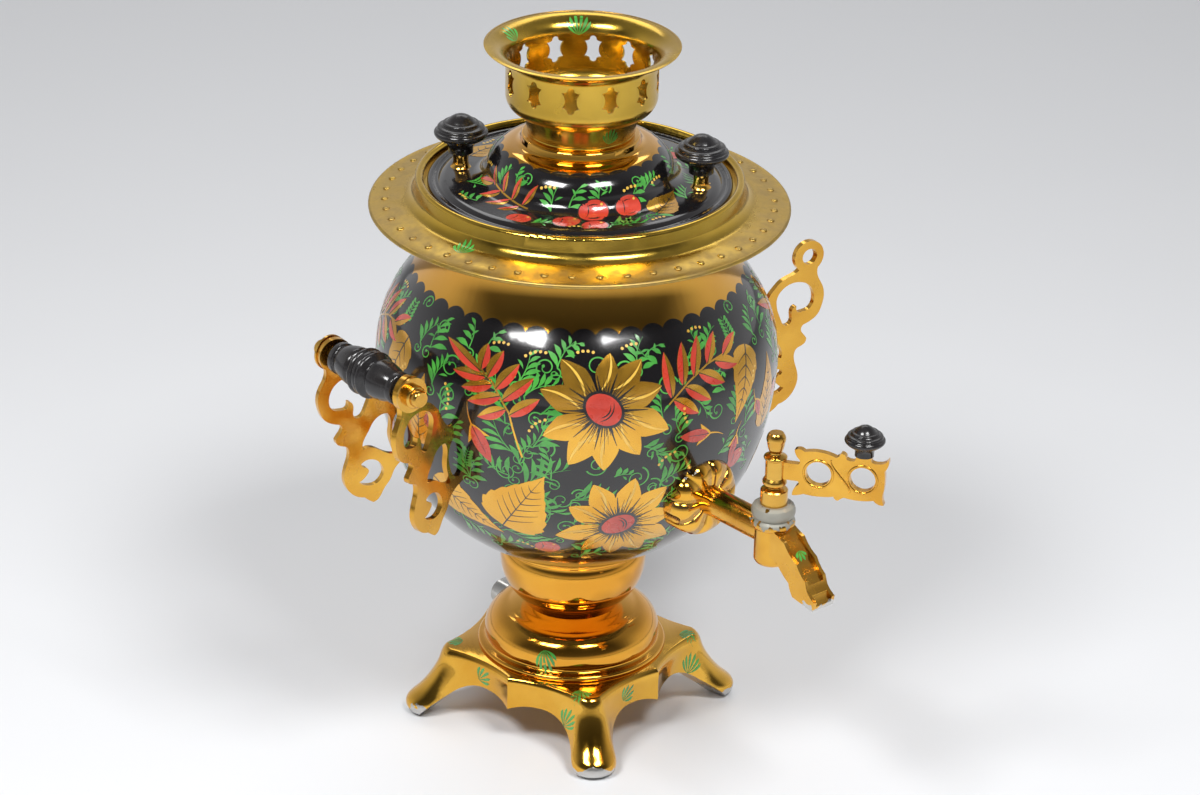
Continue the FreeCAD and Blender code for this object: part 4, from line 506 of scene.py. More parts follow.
def make_smoothing_tree():
    tree = bpy.data.node_groups.new("smooth_metal", "GeometryNodeTree")
    tree.interface.new_socket("Geometry", in_out="INPUT", socket_type="NodeSocketGeometry")
    limit = tree.interface.new_socket("Sharp Angle", in_out="INPUT", socket_type="NodeSocketFloat")
    limit.default_value = SHARP_ANGLE
    tree.interface.new_socket("Geometry", in_out="OUTPUT", socket_type="NodeSocketGeometry")
    given = tree.nodes.new("NodeGroupInput")
    result = tree.nodes.new("NodeGroupOutput")
    merge = tree.nodes.new("GeometryNodeMergeByDistance")
    merge.inputs["Distance"].default_value = 0.000002
    smooth = tree.nodes.new("GeometryNodeSetShadeSmooth")
    sharp = tree.nodes.new("GeometryNodeSetShadeSmooth")
    sharp.domain = "EDGE"
    sharp.inputs["Shade Smooth"].default_value = False
    angle = tree.nodes.new("GeometryNodeInputMeshEdgeAngle")
    compare = tree.nodes.new("FunctionNodeCompare")
    compare.operation = "GREATER_THAN"
    tree.links.new(given.outputs["Geometry"], merge.inputs["Geometry"])
    tree.links.new(merge.outputs["Geometry"], smooth.inputs["Geometry"])
    tree.links.new(smooth.outputs["Geometry"], sharp.inputs["Geometry"])
    tree.links.new(angle.outputs["Unsigned Angle"], compare.inputs[0])
    tree.links.new(given.outputs["Sharp Angle"], compare.inputs[1])
    tree.links.new(compare.outputs["Result"], sharp.inputs["Selection"])
    tree.links.new(sharp.outputs["Geometry"], result.inputs["Geometry"])
    return tree


SMOOTHING = make_smoothing_tree()

FINISH_OF = {
    "base_casting": base_gold,
    "pedestal_dome": lacquered_turned,
    "neck_collar": lacquered_turned,
    "body_shell": painted_body,
    "vessel_floor": tinned,
    "gallery_ring": worn_brass,
    "lid_shell": painted_lid,
    "crown": crown_brass,
    "tap_body": tap_gold,
    "tap_plug": stem_brass,
    "tap_rosette": rosette_gold,
    "tap_key_plate": lacquered_cast,
    "bracket_left_near": lacquered_cast,
    "bracket_left_far": lacquered_cast,
    "bracket_right_far": lacquered_cast,
    "bracket_right_near": lacquered_cast,
    "left_grip_washers": stem_brass,
    "left_grip_nuts": stem_brass,
}
FINISH_OF_SLOT = {
    "gold_lacquer": lacquered_cast,
    "black_lacquer": black_lacquer,
    "brass": stem_brass,
    "tinned_brass": tinned,
    "nickel_plate": nickel,
    "steel": plain_steel,
    "black_plastic": black_plastic,
    "rubber": rubber,
    "ceramic": ceramic,
    "wire_sleeve": sleeve,
}
slot_of = {entry["node"]: entry["material_slot"] for entry in frame["record"]["subparts"]}
for name, thing in nodes.items():
    material = FINISH_OF.get(name, FINISH_OF_SLOT[slot_of[name]])
    if not thing.material_slots:
        thing.data.materials.append(material)
    for place in thing.material_slots:
        place.link = "OBJECT"
        place.material = material
    modifier = thing.modifiers.new("smooth_metal", "NODES")
    modifier.node_group = SMOOTHING
print("finishes given to", len(nodes), "solids")

# %% [markdown]
# The painting. A brush stroke is a strip of small quads along a curved spine, and its width swells and tapers as
# a brush's does. The strokes are drawn flat, in millimetres, then wrapped onto the turned surface: sideways goes
# round the axis, upwards follows the profile. Paint of one colour is one mesh, a few hundredths proud of the metal.

# %% The turned faces that carry paint
BODY_FOOT = 98.8
BODY_PROFILE = [(40.5, 0.0), (65.95, 17.2, 0.76), (93.24, 55.9, 3.13), (102.34, 101.3, 1.78),
    (86.37, 148.94, 4.67), (73.91, 183.0, -3.15)]
LID_SEAT = 295.0
LID_PROFILE = [(66.9, 3.6), (54.5, 3.6), (47.5, 9.6, -1.3), (33.5, 22.8, 3.2), (30.4, 24.2, -0.3)]
CROWN_FOOT = 322.6
CROWN_PROFILE = [(26.9, 1.6), (28.6, 11.0), (30.0, 12.2, -0.3), (38.0, 21.5, 2.6), (38.0, 37.6),
    (48.0, 45.1, -2.6)]


class TurnedFace:
    """A surface of revolution that can be drawn on in millimetres."""

    def __init__(self, corners, lift, steps=24):
        self.points = [Vector((corners[0][0], corners[0][1] + lift))]
        for start, end in zip(corners, corners[1:]):
            a = Vector((start[0], start[1] + lift))
            b = Vector((end[0], end[1] + lift))
            if len(end) == 2:
                self.points.append(b)
                continue
            chord = b - a
            radius = (chord.length_squared / 4 + end[2] ** 2) / (2 * abs(end[2]))
            side = 1 if end[2] > 0 else -1
            left = Vector((-chord.y, chord.x)).normalized()
            centre = (a + b) / 2 + left * side * (radius - abs(end[2]))
            for step in range(1, steps + 1):
                along = a.lerp(b, step / steps)
                self.points.append(centre + (along - centre).normalized() * radius)
        self.runs = [0.0]
        for start, end in zip(self.points, self.points[1:]):
            self.runs.append(self.runs[-1] + (end - start).length)

    def at(self, run):
        """Point and outward normal after that length of profile."""
        run = min(max(run, 0.0), self.runs[-1] - 1e-6)
        index = next(i for i in range(1, len(self.runs)) if self.runs[i] > run)
        a, b = self.points[index - 1], self.points[index]
        share = (run - self.runs[index - 1]) / (self.runs[index] - self.runs[index - 1])
        way = (b - a).normalized()
        return a.lerp(b, share), Vector((way.y, -way.x))

    def run_at(self, height):
        for index in range(1, len(self.points)):
            low, high = self.points[index - 1].y, self.points[index].y
            if low <= height <= high and high > low:
                return self.runs[index - 1] + (self.runs[index] - self.runs[index - 1]) * (height - low) / (high - low)
        return self.runs[-1]

    def wrap(self, azimuth, run, x, y, proud):
        """Place on the surface of a drawn point, in metres."""
        spot, normal = self.at(run + y)
        spot = spot + normal * proud
        turn = math.radians(azimuth) + x / max(spot.x, 5.0)
        return (spot.x * math.cos(turn) * MM, spot.x * math.sin(turn) * MM, spot.y * MM)


body_face = TurnedFace(BODY_PROFILE, BODY_FOOT)
lid_face = TurnedFace(LID_PROFILE, LID_SEAT)
crown_face = TurnedFace(CROWN_PROFILE, CROWN_FOOT)
print("body profile is %.0f mm long" % body_face.runs[-1])

# %% [markdown]
# Five paints are enough. The gold is nearly a metal, because on the real part it is bare metal that shows through
# the black, and each paint has its own small lift so that overlapping strokes never share a surface.

# %% Paints
PAINTS = {
    "gold": finish("paint_gold", (0.76, 0.38, 0.035), (0.86, 0.47, 0.055), (0.18, 0.26), 0.85, 0.6, 40),
    "red": finish("paint_red", (0.50, 0.035, 0.018), (0.66, 0.06, 0.03), (0.25, 0.35), 0.0, 1.0, 60),
    "green": finish("paint_green", (0.035, 0.27, 0.03), (0.08, 0.44, 0.055), (0.3, 0.4), 0.0, 1.0, 90),
    "yellow": finish("paint_yellow", (0.74, 0.42, 0.04), (0.86, 0.55, 0.09), (0.3, 0.4), 0.0, 1.0, 90),
    "ink": finish("paint_black", (0.010, 0.009, 0.009), (0.016, 0.014, 0.013), (0.2, 0.3), 0.0, 1.0, 60),
}
LAYER = {"green": 0.05, "gold": 0.08, "yellow": 0.11, "ink": 0.14, "red": 0.11}


class Painting:
    """Collects strokes on one turned face, a mesh for each colour."""

    def __init__(self, face, name, body):
        self.face, self.name, self.body = face, name, body
        self.sheets = {colour: ([], []) for colour in PAINTS}
        self.mirror = 1

    def start(self, azimuth, run, mirror=1):
        self.azimuth, self.run, self.mirror = azimuth, run, mirror
        return self

    def patch(self, colour, rows, extra=0.0):
        """Adds a grid of drawn points; rows run forwards, each from right to left."""
        points, faces = self.sheets[colour]
        first, across = len(points), len(rows[0])
        for row in rows:
            for x, y in row:
                points.append(self.face.wrap(self.azimuth, self.run, x * self.mirror, y,
                    LAYER[colour] + extra))
        for i in range(len(rows) - 1):
            for j in range(across - 1):
                a = first + i * across + j
                quad = (a, a + across, a + across + 1, a + 1)
                faces.append(quad if self.mirror > 0 else quad[::-1])

    def stroke(self, colour, spine, width, shape, extra=0.0):
        """A strip along the spine's points; shape(u) is the share of the width at u from 0 to 1."""
        columns = max(1, math.ceil(width / 3.0)) * 2
        rows = []
        for index, (x, y) in enumerate(spine):
            before, after = spine[max(index - 1, 0)], spine[min(index + 1, len(spine) - 1)]
            way = Vector((after[0] - before[0], after[1] - before[1])).normalized()
            half = width / 2 * max(shape(index / (len(spine) - 1)), 0.02)
            row = []
            for column in range(columns + 1):
                share = (2 * column / columns - 1) * half
                row.append((x - way.y * share, y + way.x * share))
            rows.append(row)
        self.patch(colour, rows, extra)

    def leaf(self, colour, start, end, width, bend=0.0, shape=None, extra=0.0):
        """A bent brush stroke from start to end."""
        a, b = Vector(start), Vector(end)
        side = Vector((-(b - a).y, (b - a).x)).normalized() * bend
        knee = (a + b) / 2 + side
        count = max(6, math.ceil((b - a).length / 2.2))
        spine = []
        for index in range(count + 1):
            u = index / count
            spot = a.lerp(knee, u).lerp(knee.lerp(b, u), u)
            spine.append((spot.x, spot.y))
        self.stroke(colour, spine, width, shape or leaf_shape, extra)

    def disc(self, colour, x, y, radius, squash=1.0, turn=0.0, extra=0.0):
        """A filled oval, built as rings so that it follows the curved surface."""
        rings = max(1, math.ceil(radius / 3.0))
        count = 10 if radius < 1.5 else 28
        c, s = math.cos(math.radians(turn)), math.sin(math.radians(turn))
        rows = []
        for step in range(count + 1):
            angle = 2 * math.pi * step / count
            row = []
            for ring in range(rings + 1):
                reach = max(radius * (1 - ring / rings), 0.02)
                u, v = math.cos(angle) * reach, math.sin(angle) * reach * squash
                row.append((x + u * c - v * s, y + u * s + v * c))
            rows.append(row)
        self.patch(colour, rows, extra)

    def build(self):
        for colour, (points, faces) in self.sheets.items():
            if not faces:
                continue
            mesh = bpy.data.meshes.new("%s_%s" % (self.name, colour))
            mesh.from_pydata(points, [], faces)
            mesh.materials.append(PAINTS[colour])
            mesh.shade_smooth()
            thing = bpy.data.objects.new(mesh.name, mesh)
            scene.collection.objects.link(thing)
            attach(thing, self.body)
            print(mesh.name, len(faces), "quads")


def leaf_shape(u):
    return math.sin(math.pi * u**0.85) ** 0.8 if 0 < u < 1 else 0.0


def drop_shape(u):
    return (math.sin(math.pi * min(u * 0.5 + 0.02, 1)) ** 1.6) * math.sqrt(max(1 - u**5, 0))


def blade_shape(u):
    return math.sin(math.pi * min(u, 1) ** 1.25) ** 1.15 if 0 < u < 1 else 0.0


def hair_shape(u):
    return 1 - 0.8 * u


def petal_shape(u):
    swell = 0.28 + 0.72 * math.sin(math.pi / 2 * min(u / 0.60, 1))
    return swell if u < 0.60 else max((1 - u) / 0.40, 0) ** 0.72


# %% [markdown]
# The motifs are the ones such painters teach: the ten-petalled flower, the rowan branch whose leaflets are half
# red and half gold, the heart leaf with teeth, buds, berries, rows of dots, and the grass that fills every gap.
# Each motif is a function, because the same hand repeats it all round the body with small changes.

# %% Motifs


def polar(length, degrees):
    return Vector((math.cos(math.radians(degrees)) * length, math.sin(math.radians(degrees)) * length))


def flower(art, x, y, tips, heart=(9.5, 0.78, -36)):
    centre = Vector((x, y))
    for angle, length in tips:
        art.leaf("gold", centre + polar(length * 0.2, angle), centre + polar(length, angle),
            length * 0.42, 0.8, petal_shape)
        art.leaf("yellow", centre + polar(length * 0.34, angle + 17), centre + polar(length, angle),
            1.3, -length * 0.17, leaf_shape)
    for index, (angle, length) in enumerate(tips):
        for offset, reach in ((-9, 0.58), (0, 0.72), (9, 0.56)):
            art.leaf("ink", centre + polar(7, angle + offset),
                centre + polar(length * reach, angle + offset * 0.7), 0.55, 0.4, hair_shape)
        for offset in (-14, -5, 5, 14):
            art.leaf("ink", centre + polar(6, angle + offset),
                centre + polar(length * 0.42, angle + offset), 0.9, 0.0, hair_shape)
        edge = angle + 18
        art.leaf("ink", centre + polar(6, edge), centre + polar(length * 0.62, edge), 1.5, 0.0, hair_shape)
    radius, squash, turn = heart
    art.disc("ink", x, y, radius + 1.6, squash, turn)
    art.disc("red", x, y, radius, squash, turn, 0.06)
    for share in (0.45, 0.68):
        start = centre + polar(radius * share, turn - 75)
        end = centre + polar(radius * share, turn + 75)
        art.leaf("ink", start, end, 0.8, -radius * share * 0.9, leaf_shape, 0.06)


def branch(art, stem, leaflets, width=6.6):
    """A rowan branch: leaflets of gold with one red half and an inked midrib, along a gold stem."""
    for start, end in zip(stem, stem[1:]):
        art.leaf("gold", start, end, 1.2, 0.3, lambda u: 0.8)
    for base, tip, red_side in leaflets:
        art.leaf("gold", base, tip, width, 0.6)
        a, b = Vector(base), Vector(tip)
        side = Vector((-(b - a).y, (b - a).x)).normalized() * width * 0.24 * red_side
        art.leaf("red", a + side * 0.4, b, width * 0.5, width * 0.42 * red_side)
        art.leaf("ink", base, a.lerp(b, 0.7), 0.45, 0.2, hair_shape, 0.03)


def frond(art, x, y, angle, length, bend, count=7, side=1, width=2.3, colour="green"):
    """Grass: strokes that leave a curved stem on one side, longer in the middle."""
    start = Vector((x, y))
    end = start + polar(length, angle)
    art.leaf(colour, start, end, 0.8, bend, hair_shape)
    across = Vector((-(end - start).y, (end - start).x)).normalized()
    blades = max(3, round(count * 0.65))
    for index in range(blades):
        u = index / blades
        spot = start.lerp(end, u) + across * bend * 2 * u * (1 - u)
        reach = length * (0.62 - 0.36 * u)
        tip = spot + polar(reach, angle + side * (62 - 34 * u))
        art.leaf(colour, spot, tip, width * (1.25 - 0.65 * u), -side * reach * 0.22, blade_shape)
    for share in (0.4,):
        spot = start.lerp(end, share)
        art.leaf(colour, spot, spot + polar(length * 0.34, angle - side * 50), width * 0.55,
            side * length * 0.07, blade_shape)
    if length > 14:
        curl(art, start.x, start.y, angle - side * 78, length * 0.20, 1.15, -side, 0.75)


def tuft(art, x, y, angle, length, count=5, spread=70, width=2.2):
    """A fan of grass blades from one point."""
    for index in range(count):
        share = index / (count - 1) - 0.5 if count > 1 else 0
        tip = Vector((x, y)) + polar(length * (1 - 0.5 * abs(share)), angle + share * spread)
        art.leaf("green", (x, y), tip, width, share * length * 0.35, drop_shape)


def curl(art, x, y, angle, radius, turns=1.3, way=1, width=0.9):
    """A tendril that winds inwards."""
    spine = []
    steps = 30
    centre = Vector((x, y)) + polar(radius, angle + 90 * way)
    for step in range(steps + 1):
        u = step / steps
        spot = centre + polar(radius * (1 - 0.72 * u), angle - 90 * way + way * 360 * turns * u)
        spine.append((spot.x, spot.y))
    art.stroke("green", spine, width, lambda u: 1.0 - 0.5 * u)
    art.disc("green", spine[-1][0], spine[-1][1], width * 0.9)


def dots(art, x, y, angle, count, gap=2.5, arch=0.12):
    for index in range(count):
        spot = Vector((x, y)) + polar(index * gap, angle)
        lift = polar(arch * gap * index * (count - 1 - index), angle + 90)
        art.disc("yellow", spot.x + lift.x, spot.y + lift.y, 0.8)


def berry(art, x, y, radius=5.0, turn=20):
    art.disc("ink", x, y, radius + 0.7, 0.86, turn, -0.06)
    art.disc("red", x, y, radius, 0.86, turn)
    start, end = Vector((x, y)) + polar(radius * 0.75, turn + 100), Vector((x,
        y)) + polar(radius * 0.75, turn + 200)
    art.leaf("ink", start, end, 0.5, radius * 0.3, leaf_shape)
    art.disc("yellow", x + radius * 0.55, y + radius * 0.55, 0.7, extra=0.05)


def bud(art, x, y, angle, length=15.0):
    base, tip = Vector((x, y)), Vector((x, y)) + polar(length, angle)
    art.leaf("red", base, tip, length * 0.40, 0.5)
    art.leaf("ink", base, base.lerp(tip, 0.75), 0.5, 0.3, hair_shape, 0.03)
    for side in (-1, 1):
        art.leaf("gold", base - polar(1.5, angle), base + polar(length * 0.5, angle + side * 42), 2.6,
            -side * 2.0)
    art.leaf("gold", base, base - polar(length * 0.6, angle - 12), 1.0, 1.5, hair_shape)


def toothed_leaf(art, x, y, angle, length, width, teeth=7, veins=6):
    """A broad gold leaf with a toothed edge and inked veins."""
    base, tip = Vector((x, y)), Vector((x, y)) + polar(length, angle)

    def outline(u):
        body = math.sin(math.pi * min(u**0.50, 1)) ** 1.05 if 0 < u < 1 else 0
        return body * (1 + 0.10 * ((u * teeth) % 1))

    count = teeth * 6
    spine = [tuple(base.lerp(tip, index / count)) for index in range(count + 1)]
    art.stroke("gold", spine, width, outline)
    art.leaf("ink", base, base.lerp(tip, 0.93), 0.8, 0.8, hair_shape)
    for index in range(veins):
        u = 0.12 + 0.72 * index / veins
        spot = base.lerp(tip, u)
        for side in (-1, 1):
            end = spot + polar(width * 0.42 * outline(u + 0.08), angle + side * 48)
            art.leaf("ink", spot, end, 0.6, side * 0.8, hair_shape)


def fern(art, x, y, angle, length, pairs=6):
    """A small upright fern of drop strokes."""
    art.leaf("green", (x, y), Vector((x, y)) + polar(length, angle), 0.7, 0.5, hair_shape)
    for index in range(pairs):
        u = 0.15 + 0.8 * index / pairs
        spot = Vector((x, y)) + polar(length * u, angle)
        for side in (-1, 1):
            tip = spot + polar(length * 0.36 * (1 - 0.4 * u), angle + side * 58)
            art.leaf("green", spot, tip, 2.2, side * 0.5, drop_shape)


# %% [markdown]
# One bouquet fills a third of the body. Its places are azimuth and height on the real body, read off the photo,
# so that the flowers stand where they do there, and the unseen sides repeat it.

# %% The body's painting
FRONT_AZIMUTH = -123.5
UPPER_TIPS = [(17, 31), (50, 30.5), (82, 28), (129, 32), (163, 32.5), (-155, 33), (-120, 34), (-89, 33),
    (-54, 31.5), (-22, 36)]
LOWER_TIPS = [(6, 30), (43, 32), (79, 31), (118, 32), (152, 29.5), (-165, 31.5), (-124, 27.5),
    (-90, 28), (-60, 31), (-31, 34)]


def place(art, azimuth, height, centre, mirror):
    """Starts a motif at an azimuth measured from the bouquet's middle."""
    return art.start(centre + (azimuth - FRONT_AZIMUTH) * mirror, body_face.run_at(height), mirror)


def bouquet(art, centre, mirror):
    def at(azimuth, height):
        return place(art, azimuth, height, centre, mirror)

    fronds = [
        (-166, 238, 100, 15, -3, 6, 1), (-160, 240, 60, 13, 3, 5, -1), (-148, 228, 78, 17, -3, 7, -1),
        (-146, 222, 20, 18, 5, 7, 1),
        (-113, 236, 70, 15, 3, 6, 1), (-110, 240, 20, 12, 3, 5, -1), (-92, 236, 95, 13, -2, 6, -1),
        (-88, 238, 40, 12, 3, 5, 1),
        (-151, 207, 105, 17, -2, 7, 1), (-143, 196, 70, 22, -3, 9, -1), (-149, 192, 118, 22, 4, 8, 1),
        (-147, 186, 55, 18, 3, 8, 1),
        (-146, 172, 28, 27, 5, 9, 1), (-147, 168, -28, 25, -5, 9, 1), (-147, 168, -10, 18, 3, 6, -1),
        (-106, 206, 95, 16, 2, 8, 1),
        (-108, 190, -10, 16, 4, 6, -1), (-101, 200, 100, 15, 3, 7, -1), (-104, 160, 45, 15, 3, 6, -1),
        (-101, 146, 60, 13, 3, 6, -1),
        (-163, 171, 92, 19, 2, 8, 1), (-163, 171, 65, 16, 3, 6, -1), (-154, 141, -40, 20, 3, 7, 1),
        (-140, 150, 80, 13, -3, 6, 1),
        (-172, 200, 80, 20, 3, 8, -1), (-176, 216, 60, 17, 4, 7, 1), (-106, 130, 20, 20, 3, 6, 1),
        (-128, 125, 10, 16, 2, 5, 1),
        (-85, 215, 110, 14, 2, 6, 1), (-75, 190, 85, 20, 3, 7, -1), (-70, 165, 100, 18, 3, 7, 1),
        (-84, 160, 80, 14, -3, 5, 1),
        (-180, 232, 75, 18, 4, 7, -1), (-178, 180, 70, 16, 3, 6, 1), (-66, 232, 60, 15, 3, 6, 1),
        (-134, 205, 150, 12, 3, 5, 1),
        (-137, 236, 60, 16, 3, 6, 1), (-135, 244, 20, 10, 2, 4, -1), (-141, 214, 60, 20, -4, 8, -1),
        (-154, 222, 95, 15, 3, 6, 1),
        (-157, 214, 130, 14, 3, 6, -1), (-163, 222, 75, 15, 3, 6, 1), (-169, 190, 60, 15, 3, 6, -1),
        (-150, 178, 150, 18, 4, 7, -1),
        (-138, 178, 100, 18, -3, 7, 1), (-132, 166, -10, 26, 4, 9, 1), (-130, 160, -40, 16, -3, 6, -1),
        (-106, 172, 20, 18, 4, 7, 1),
        (-112, 196, -40, 14, 3, 6, 1), (-98, 228, 60, 15, 3, 6, -1), (-107, 236, 130, 12, 2, 5, 1),
        (-96, 216, -60, 14, 3, 6, 1),
        (-90, 226, -20, 12, 3, 5, -1), (-81, 200, 70, 16, 3, 7, 1), (-86, 180, 60, 14, -3, 6, -1),
        (-138, 138, 150, 15, 3, 6, 1),
        (-132, 134, 10, 12, 2, 5, -1), (-159, 128, 10, 18, 3, 6, 1), (-171, 140, -30, 18, 3, 7, -1),
        (-98, 122, 100, 16, 3, 6, 1),
        (-88, 146, 80, 16, 3, 6, 1), (-80, 140, 100, 16, -3, 6, -1), (-144, 158, 60, 12, 3, 5, -1),
        (-120, 180, 0, 10, 2, 4, 1),
    ]
    for azimuth, height, angle, length, bend, count, side in fronds:
        frond(at(azimuth, height), 0, 0, angle, length, bend, count, side)
    curls = [
        (-168, 232, 140, 6, 1), (-152, 233, 40, 5, -1), (-139, 216, 10, 7, -1), (-129, 236, 170, 6, 1),
        (-119, 237, 60, 4.5, -1),
        (-98, 235, 40, 5, -1), (-84, 238, 120, 5, 1), (-169, 208, 190, 6, -1), (-104, 188, -80, 6, 1),
        (-109, 176, 20, 5, -1),
        (-146, 144, -60, 4.5, 1), (-138, 192, 30, 5, 1), (-162, 150, 200, 4, 1), (-104, 178, 200, 5, 1),
        (-91, 208, 250, 5, 1),
        (-136, 222, 190, 7, -1), (-160, 226, 60, 6, -1), (-128, 184, -60, 6, 1), (-101, 226, 100, 6, 1),
        (-112, 184, -20, 6.5, -1),
        (-152, 186, 200, 6, 1), (-131, 150, 120, 5, 1), (-94, 160, 80, 6, -1), (-124, 232, 20, 6, 1),
        (-142, 232, 150, 5, -1),
        (-176, 241, 60, 4, 1), (-73, 246, 130, 4, -1), (-132, 170, 80, 4, -1), (-96, 132, 60, 4, 1),
        (-77, 150, 100, 5, 1),
    ]
    for azimuth, height, angle, radius, way in curls:
        curl(at(azimuth, height), 0, 0, angle, radius, 1.25, way)
    branch(at(-146, 189.6), [(0, 0), (-7, 23), (-17, 37), (-25, 43)], [
        ((-24, 41), (-46, 52), 1), ((-21, 39), (-40, 38), 1), ((-17, 36), (-34, 31), 1),
        ((-12, 31), (-30, 25), 1), ((-9, 25), (-24, 18), 1),
        ((-24, 42), (-22, 55), -1), ((-20, 39), (-13, 53), -1), ((-15, 34), (-4, 48), -1),
        ((-11, 29), (4, 42), -1), ((-7, 22), (8, 32), -1)])
    branch(at(-104.5, 216), [(0, 0), (12, 9), (25, 15), (40, 17)], [
        ((2, 3), (1, 26), 1), ((9, 8), (12, 29), 1), ((16, 11), (22, 30), 1), ((25, 15), (33, 29), 1),
        ((36, 16), (48, 24), 1),
        ((3, 2), (17, -8), -1), ((10, 7), (25, -3), -1), ((19, 12), (35, 3), -1), ((30, 15), (46, 9), -1)])
    toothed_leaf(at(-156, 152), 2, -9, 55, 46, 33)
    toothed_leaf(at(-176, 157), -4, 6, -38, 44, 23, 6, 7)
    toothed_leaf(at(-72, 231), 0, 0, -112, 40, 20, 6, 5)
    toothed_leaf(at(-64, 182), 2, -2, 84, 40, 20, 6, 6)
    for azimuth, height, angle, length in [(-161, 202, -62, 21), (-91, 195, 172, 18),
        (-79, 186, -100, 14), (-70, 200, -60, 13)]:
        bud(at(azimuth, height), 0, 0, angle, length)
    for azimuth, height, radius in [(-140.5, 131, 6.5), (-77, 172, 6), (-176, 196, 5)]:
        berry(at(azimuth, height), 0, 0, radius)
    fern(at(-77, 234), 0, 0, 92, 15)
    fern(at(-165, 176), 0, 0, 70, 14)
    rows = [
        (-158, 243, 5, 4), (-147, 240, 15, 5), (-131, 243, 0, 4), (-117, 244, 12, 4), (-93, 246, 0, 4),
        (-171, 219, -80, 6),
        (-144, 205, 40, 5), (-107, 184, 35, 5), (-151, 133, -35, 5), (-99, 205, 100, 4),
        (-72, 212, 60, 4), (-130, 200, 10, 4),
    ]
    for azimuth, height, angle, count in rows:
        dots(at(azimuth, height), 0, 0, angle, count)
    flower(at(FRONT_AZIMUTH, 217), 0, 0, UPPER_TIPS)
    flower(at(-117.2, 148.8), 0, 0, LOWER_TIPS, (8.6, 0.78, 24))


body_art = Painting(body_face, "body_painting", "stand")
for centre, mirror in ((FRONT_AZIMUTH, 1), (FRONT_AZIMUTH + 121, 1), (FRONT_AZIMUTH + 241, 1)):
    bouquet(body_art, centre, mirror)
body_art.build()

# %% [markdown]
# The lid carries berries, one branch and leaves in a ring. Here "run" counts millimetres inwards from the brim.

# %% The lid's painting
lid_art = Painting(lid_face, "lid_painting", "lid")


def lid_bouquet(centre):
    def at(azimuth, run):
        return lid_art.start(centre + azimuth, run)

    for azimuth, run, radius in ((4, 16.5, 7.6), (25, 17.5, 7.0), (-10, 8, 6.8), (3, 3.2, 6.6),
        (-32, 3.8, 6.2)):
        berry(at(azimuth, run), 0, 0, radius)
    branch(at(-33, 15), [(0, 0), (-14, 3), (-26, 6), (-36, 7)], [
        ((-4, 1), (2, 13), 1), ((-11, 2), (-8, 15), 1), ((-18, 4), (-18, 15), 1), ((-26, 5), (-30, 14), 1),
        ((-5, 0), (-14, -8), -1), ((-12, 2), (-24, -7), -1), ((-20, 4), (-33, -4), -1),
        ((-28, 6), (-44, 2), -1)], 3.6)
    toothed_leaf(at(44, 12), -8, -4, 20, 26, 15, 6, 4)
    toothed_leaf(at(150, 12), -8, -4, 10, 26, 15, 6, 4)
    toothed_leaf(at(-110, 10), -8, -4, 170, 26, 15, 6, 4)
    for azimuth, run, angle, length, side in (
        (-20, 16, 80, 14, 1), (-10, 19, 60, 14, -1), (8, 20, 80, 12, 1), (28, 20, 50, 14, -1),
        (38, 24, 20, 12, 1), (60, 8, 20, 14, 1),
        (10, 3, -8, 20, 1), (22, 3, 170, 12, -1), (34, 6, 20, 15, -1), (-25, 2, 10, 12, 1),
        (-60, 6, 190, 14, -1), (80, 6, 30, 14, 1),
        (100, 10, 50, 15, -1), (120, 6, 10, 14, 1), (170, 8, 40, 15, 1), (-150, 8, 20, 15, -1),
        (-130, 12, 60, 14, 1), (-85, 10, 30, 14, 1),
        (-45, 24, 100, 11, -1), (-60, 22, 70, 11, 1), (75, 22, 90, 12, 1), (130, 22, 70, 12, -1),
        (-170, 22, 90, 12, 1), (-110, 24, 80, 12, -1)):
        frond(at(azimuth, run), 0, 0, angle, length, 2.5, 6, side, 2.0)
    for azimuth, run in ((-38, 27), (14, 26), (36, 26), (90, 26), (150, 26), (-150, 26), (-95, 26)):
        curl(at(azimuth, run), 0, 0, 30, 3.4, 1.2, 1, 0.7)
        dots(at(azimuth + 10, run), 0, 0, 10, 4, 2.2)
    for azimuth in (-8, 30, 75, 110, 170, -140, -70):
        dots(at(azimuth, 2.2), 0, 0, 0, 4, 2.2)
    for azimuth in (120, 134, -160, -146):
        berry(at(azimuth, 12), 0, 0, 5.2)


lid_bouquet(FRONT_AZIMUTH - 4)
lid_art.build()

# %% [markdown]
# A few loose tufts of green were brushed straight onto the gold: on the crown's foot, the collar and the gallery.
# This cell paints the crown's foot; the gallery's tufts are thrown on below, and the collar is left bare.

# %% Tufts on the crown
crown_art = Painting(crown_face, "crown_painting", "crown")
tuft(crown_art.start(FRONT_AZIMUTH + 22, 1.5), 0, 0, 78, 9, 6, 80, 1.6)
tuft(crown_art.start(FRONT_AZIMUTH + 170, 1.5), 0, 0, 95, 9, 5, 80, 1.6)
crown_art.build()

# %% [markdown]
# Feet and tap aren't turned, so their tufts are thrown onto them, and so are those on the gallery, the pedestal
# and the crown's rim: each drawn point sets off from outside the metal and stops where a ray first meets it.

# %% Tufts thrown onto the cast pieces
LIFT = 0.00006


class ThrownFace:
    """A flat drawing that is projected onto CAD pieces along one direction."""

    def __init__(self, names):
        points, faces = [], []
        for name in names:
            mesh = nodes[name].data
            first = len(points)
            points.extend(v.co.copy() for v in mesh.vertices)
            faces.extend([first + i for i in polygon.vertices] for polygon in mesh.polygons)
        self.tree = BVHTree.FromPolygons(points, faces)

    def wrap(self, spot, frame, x, y, proud):
        right, up, way = frame
        start = spot + (right * x + up * y) * MM - way * 0.03
        hit, normal, index, distance = self.tree.ray_cast(start, way, 0.06)
        if hit is None:
            self.missed += 1
            return tuple(start + way * 0.03)
        side = -1 if normal.dot(way) > 0 else 1
        return tuple(hit + normal * side * LIFT)


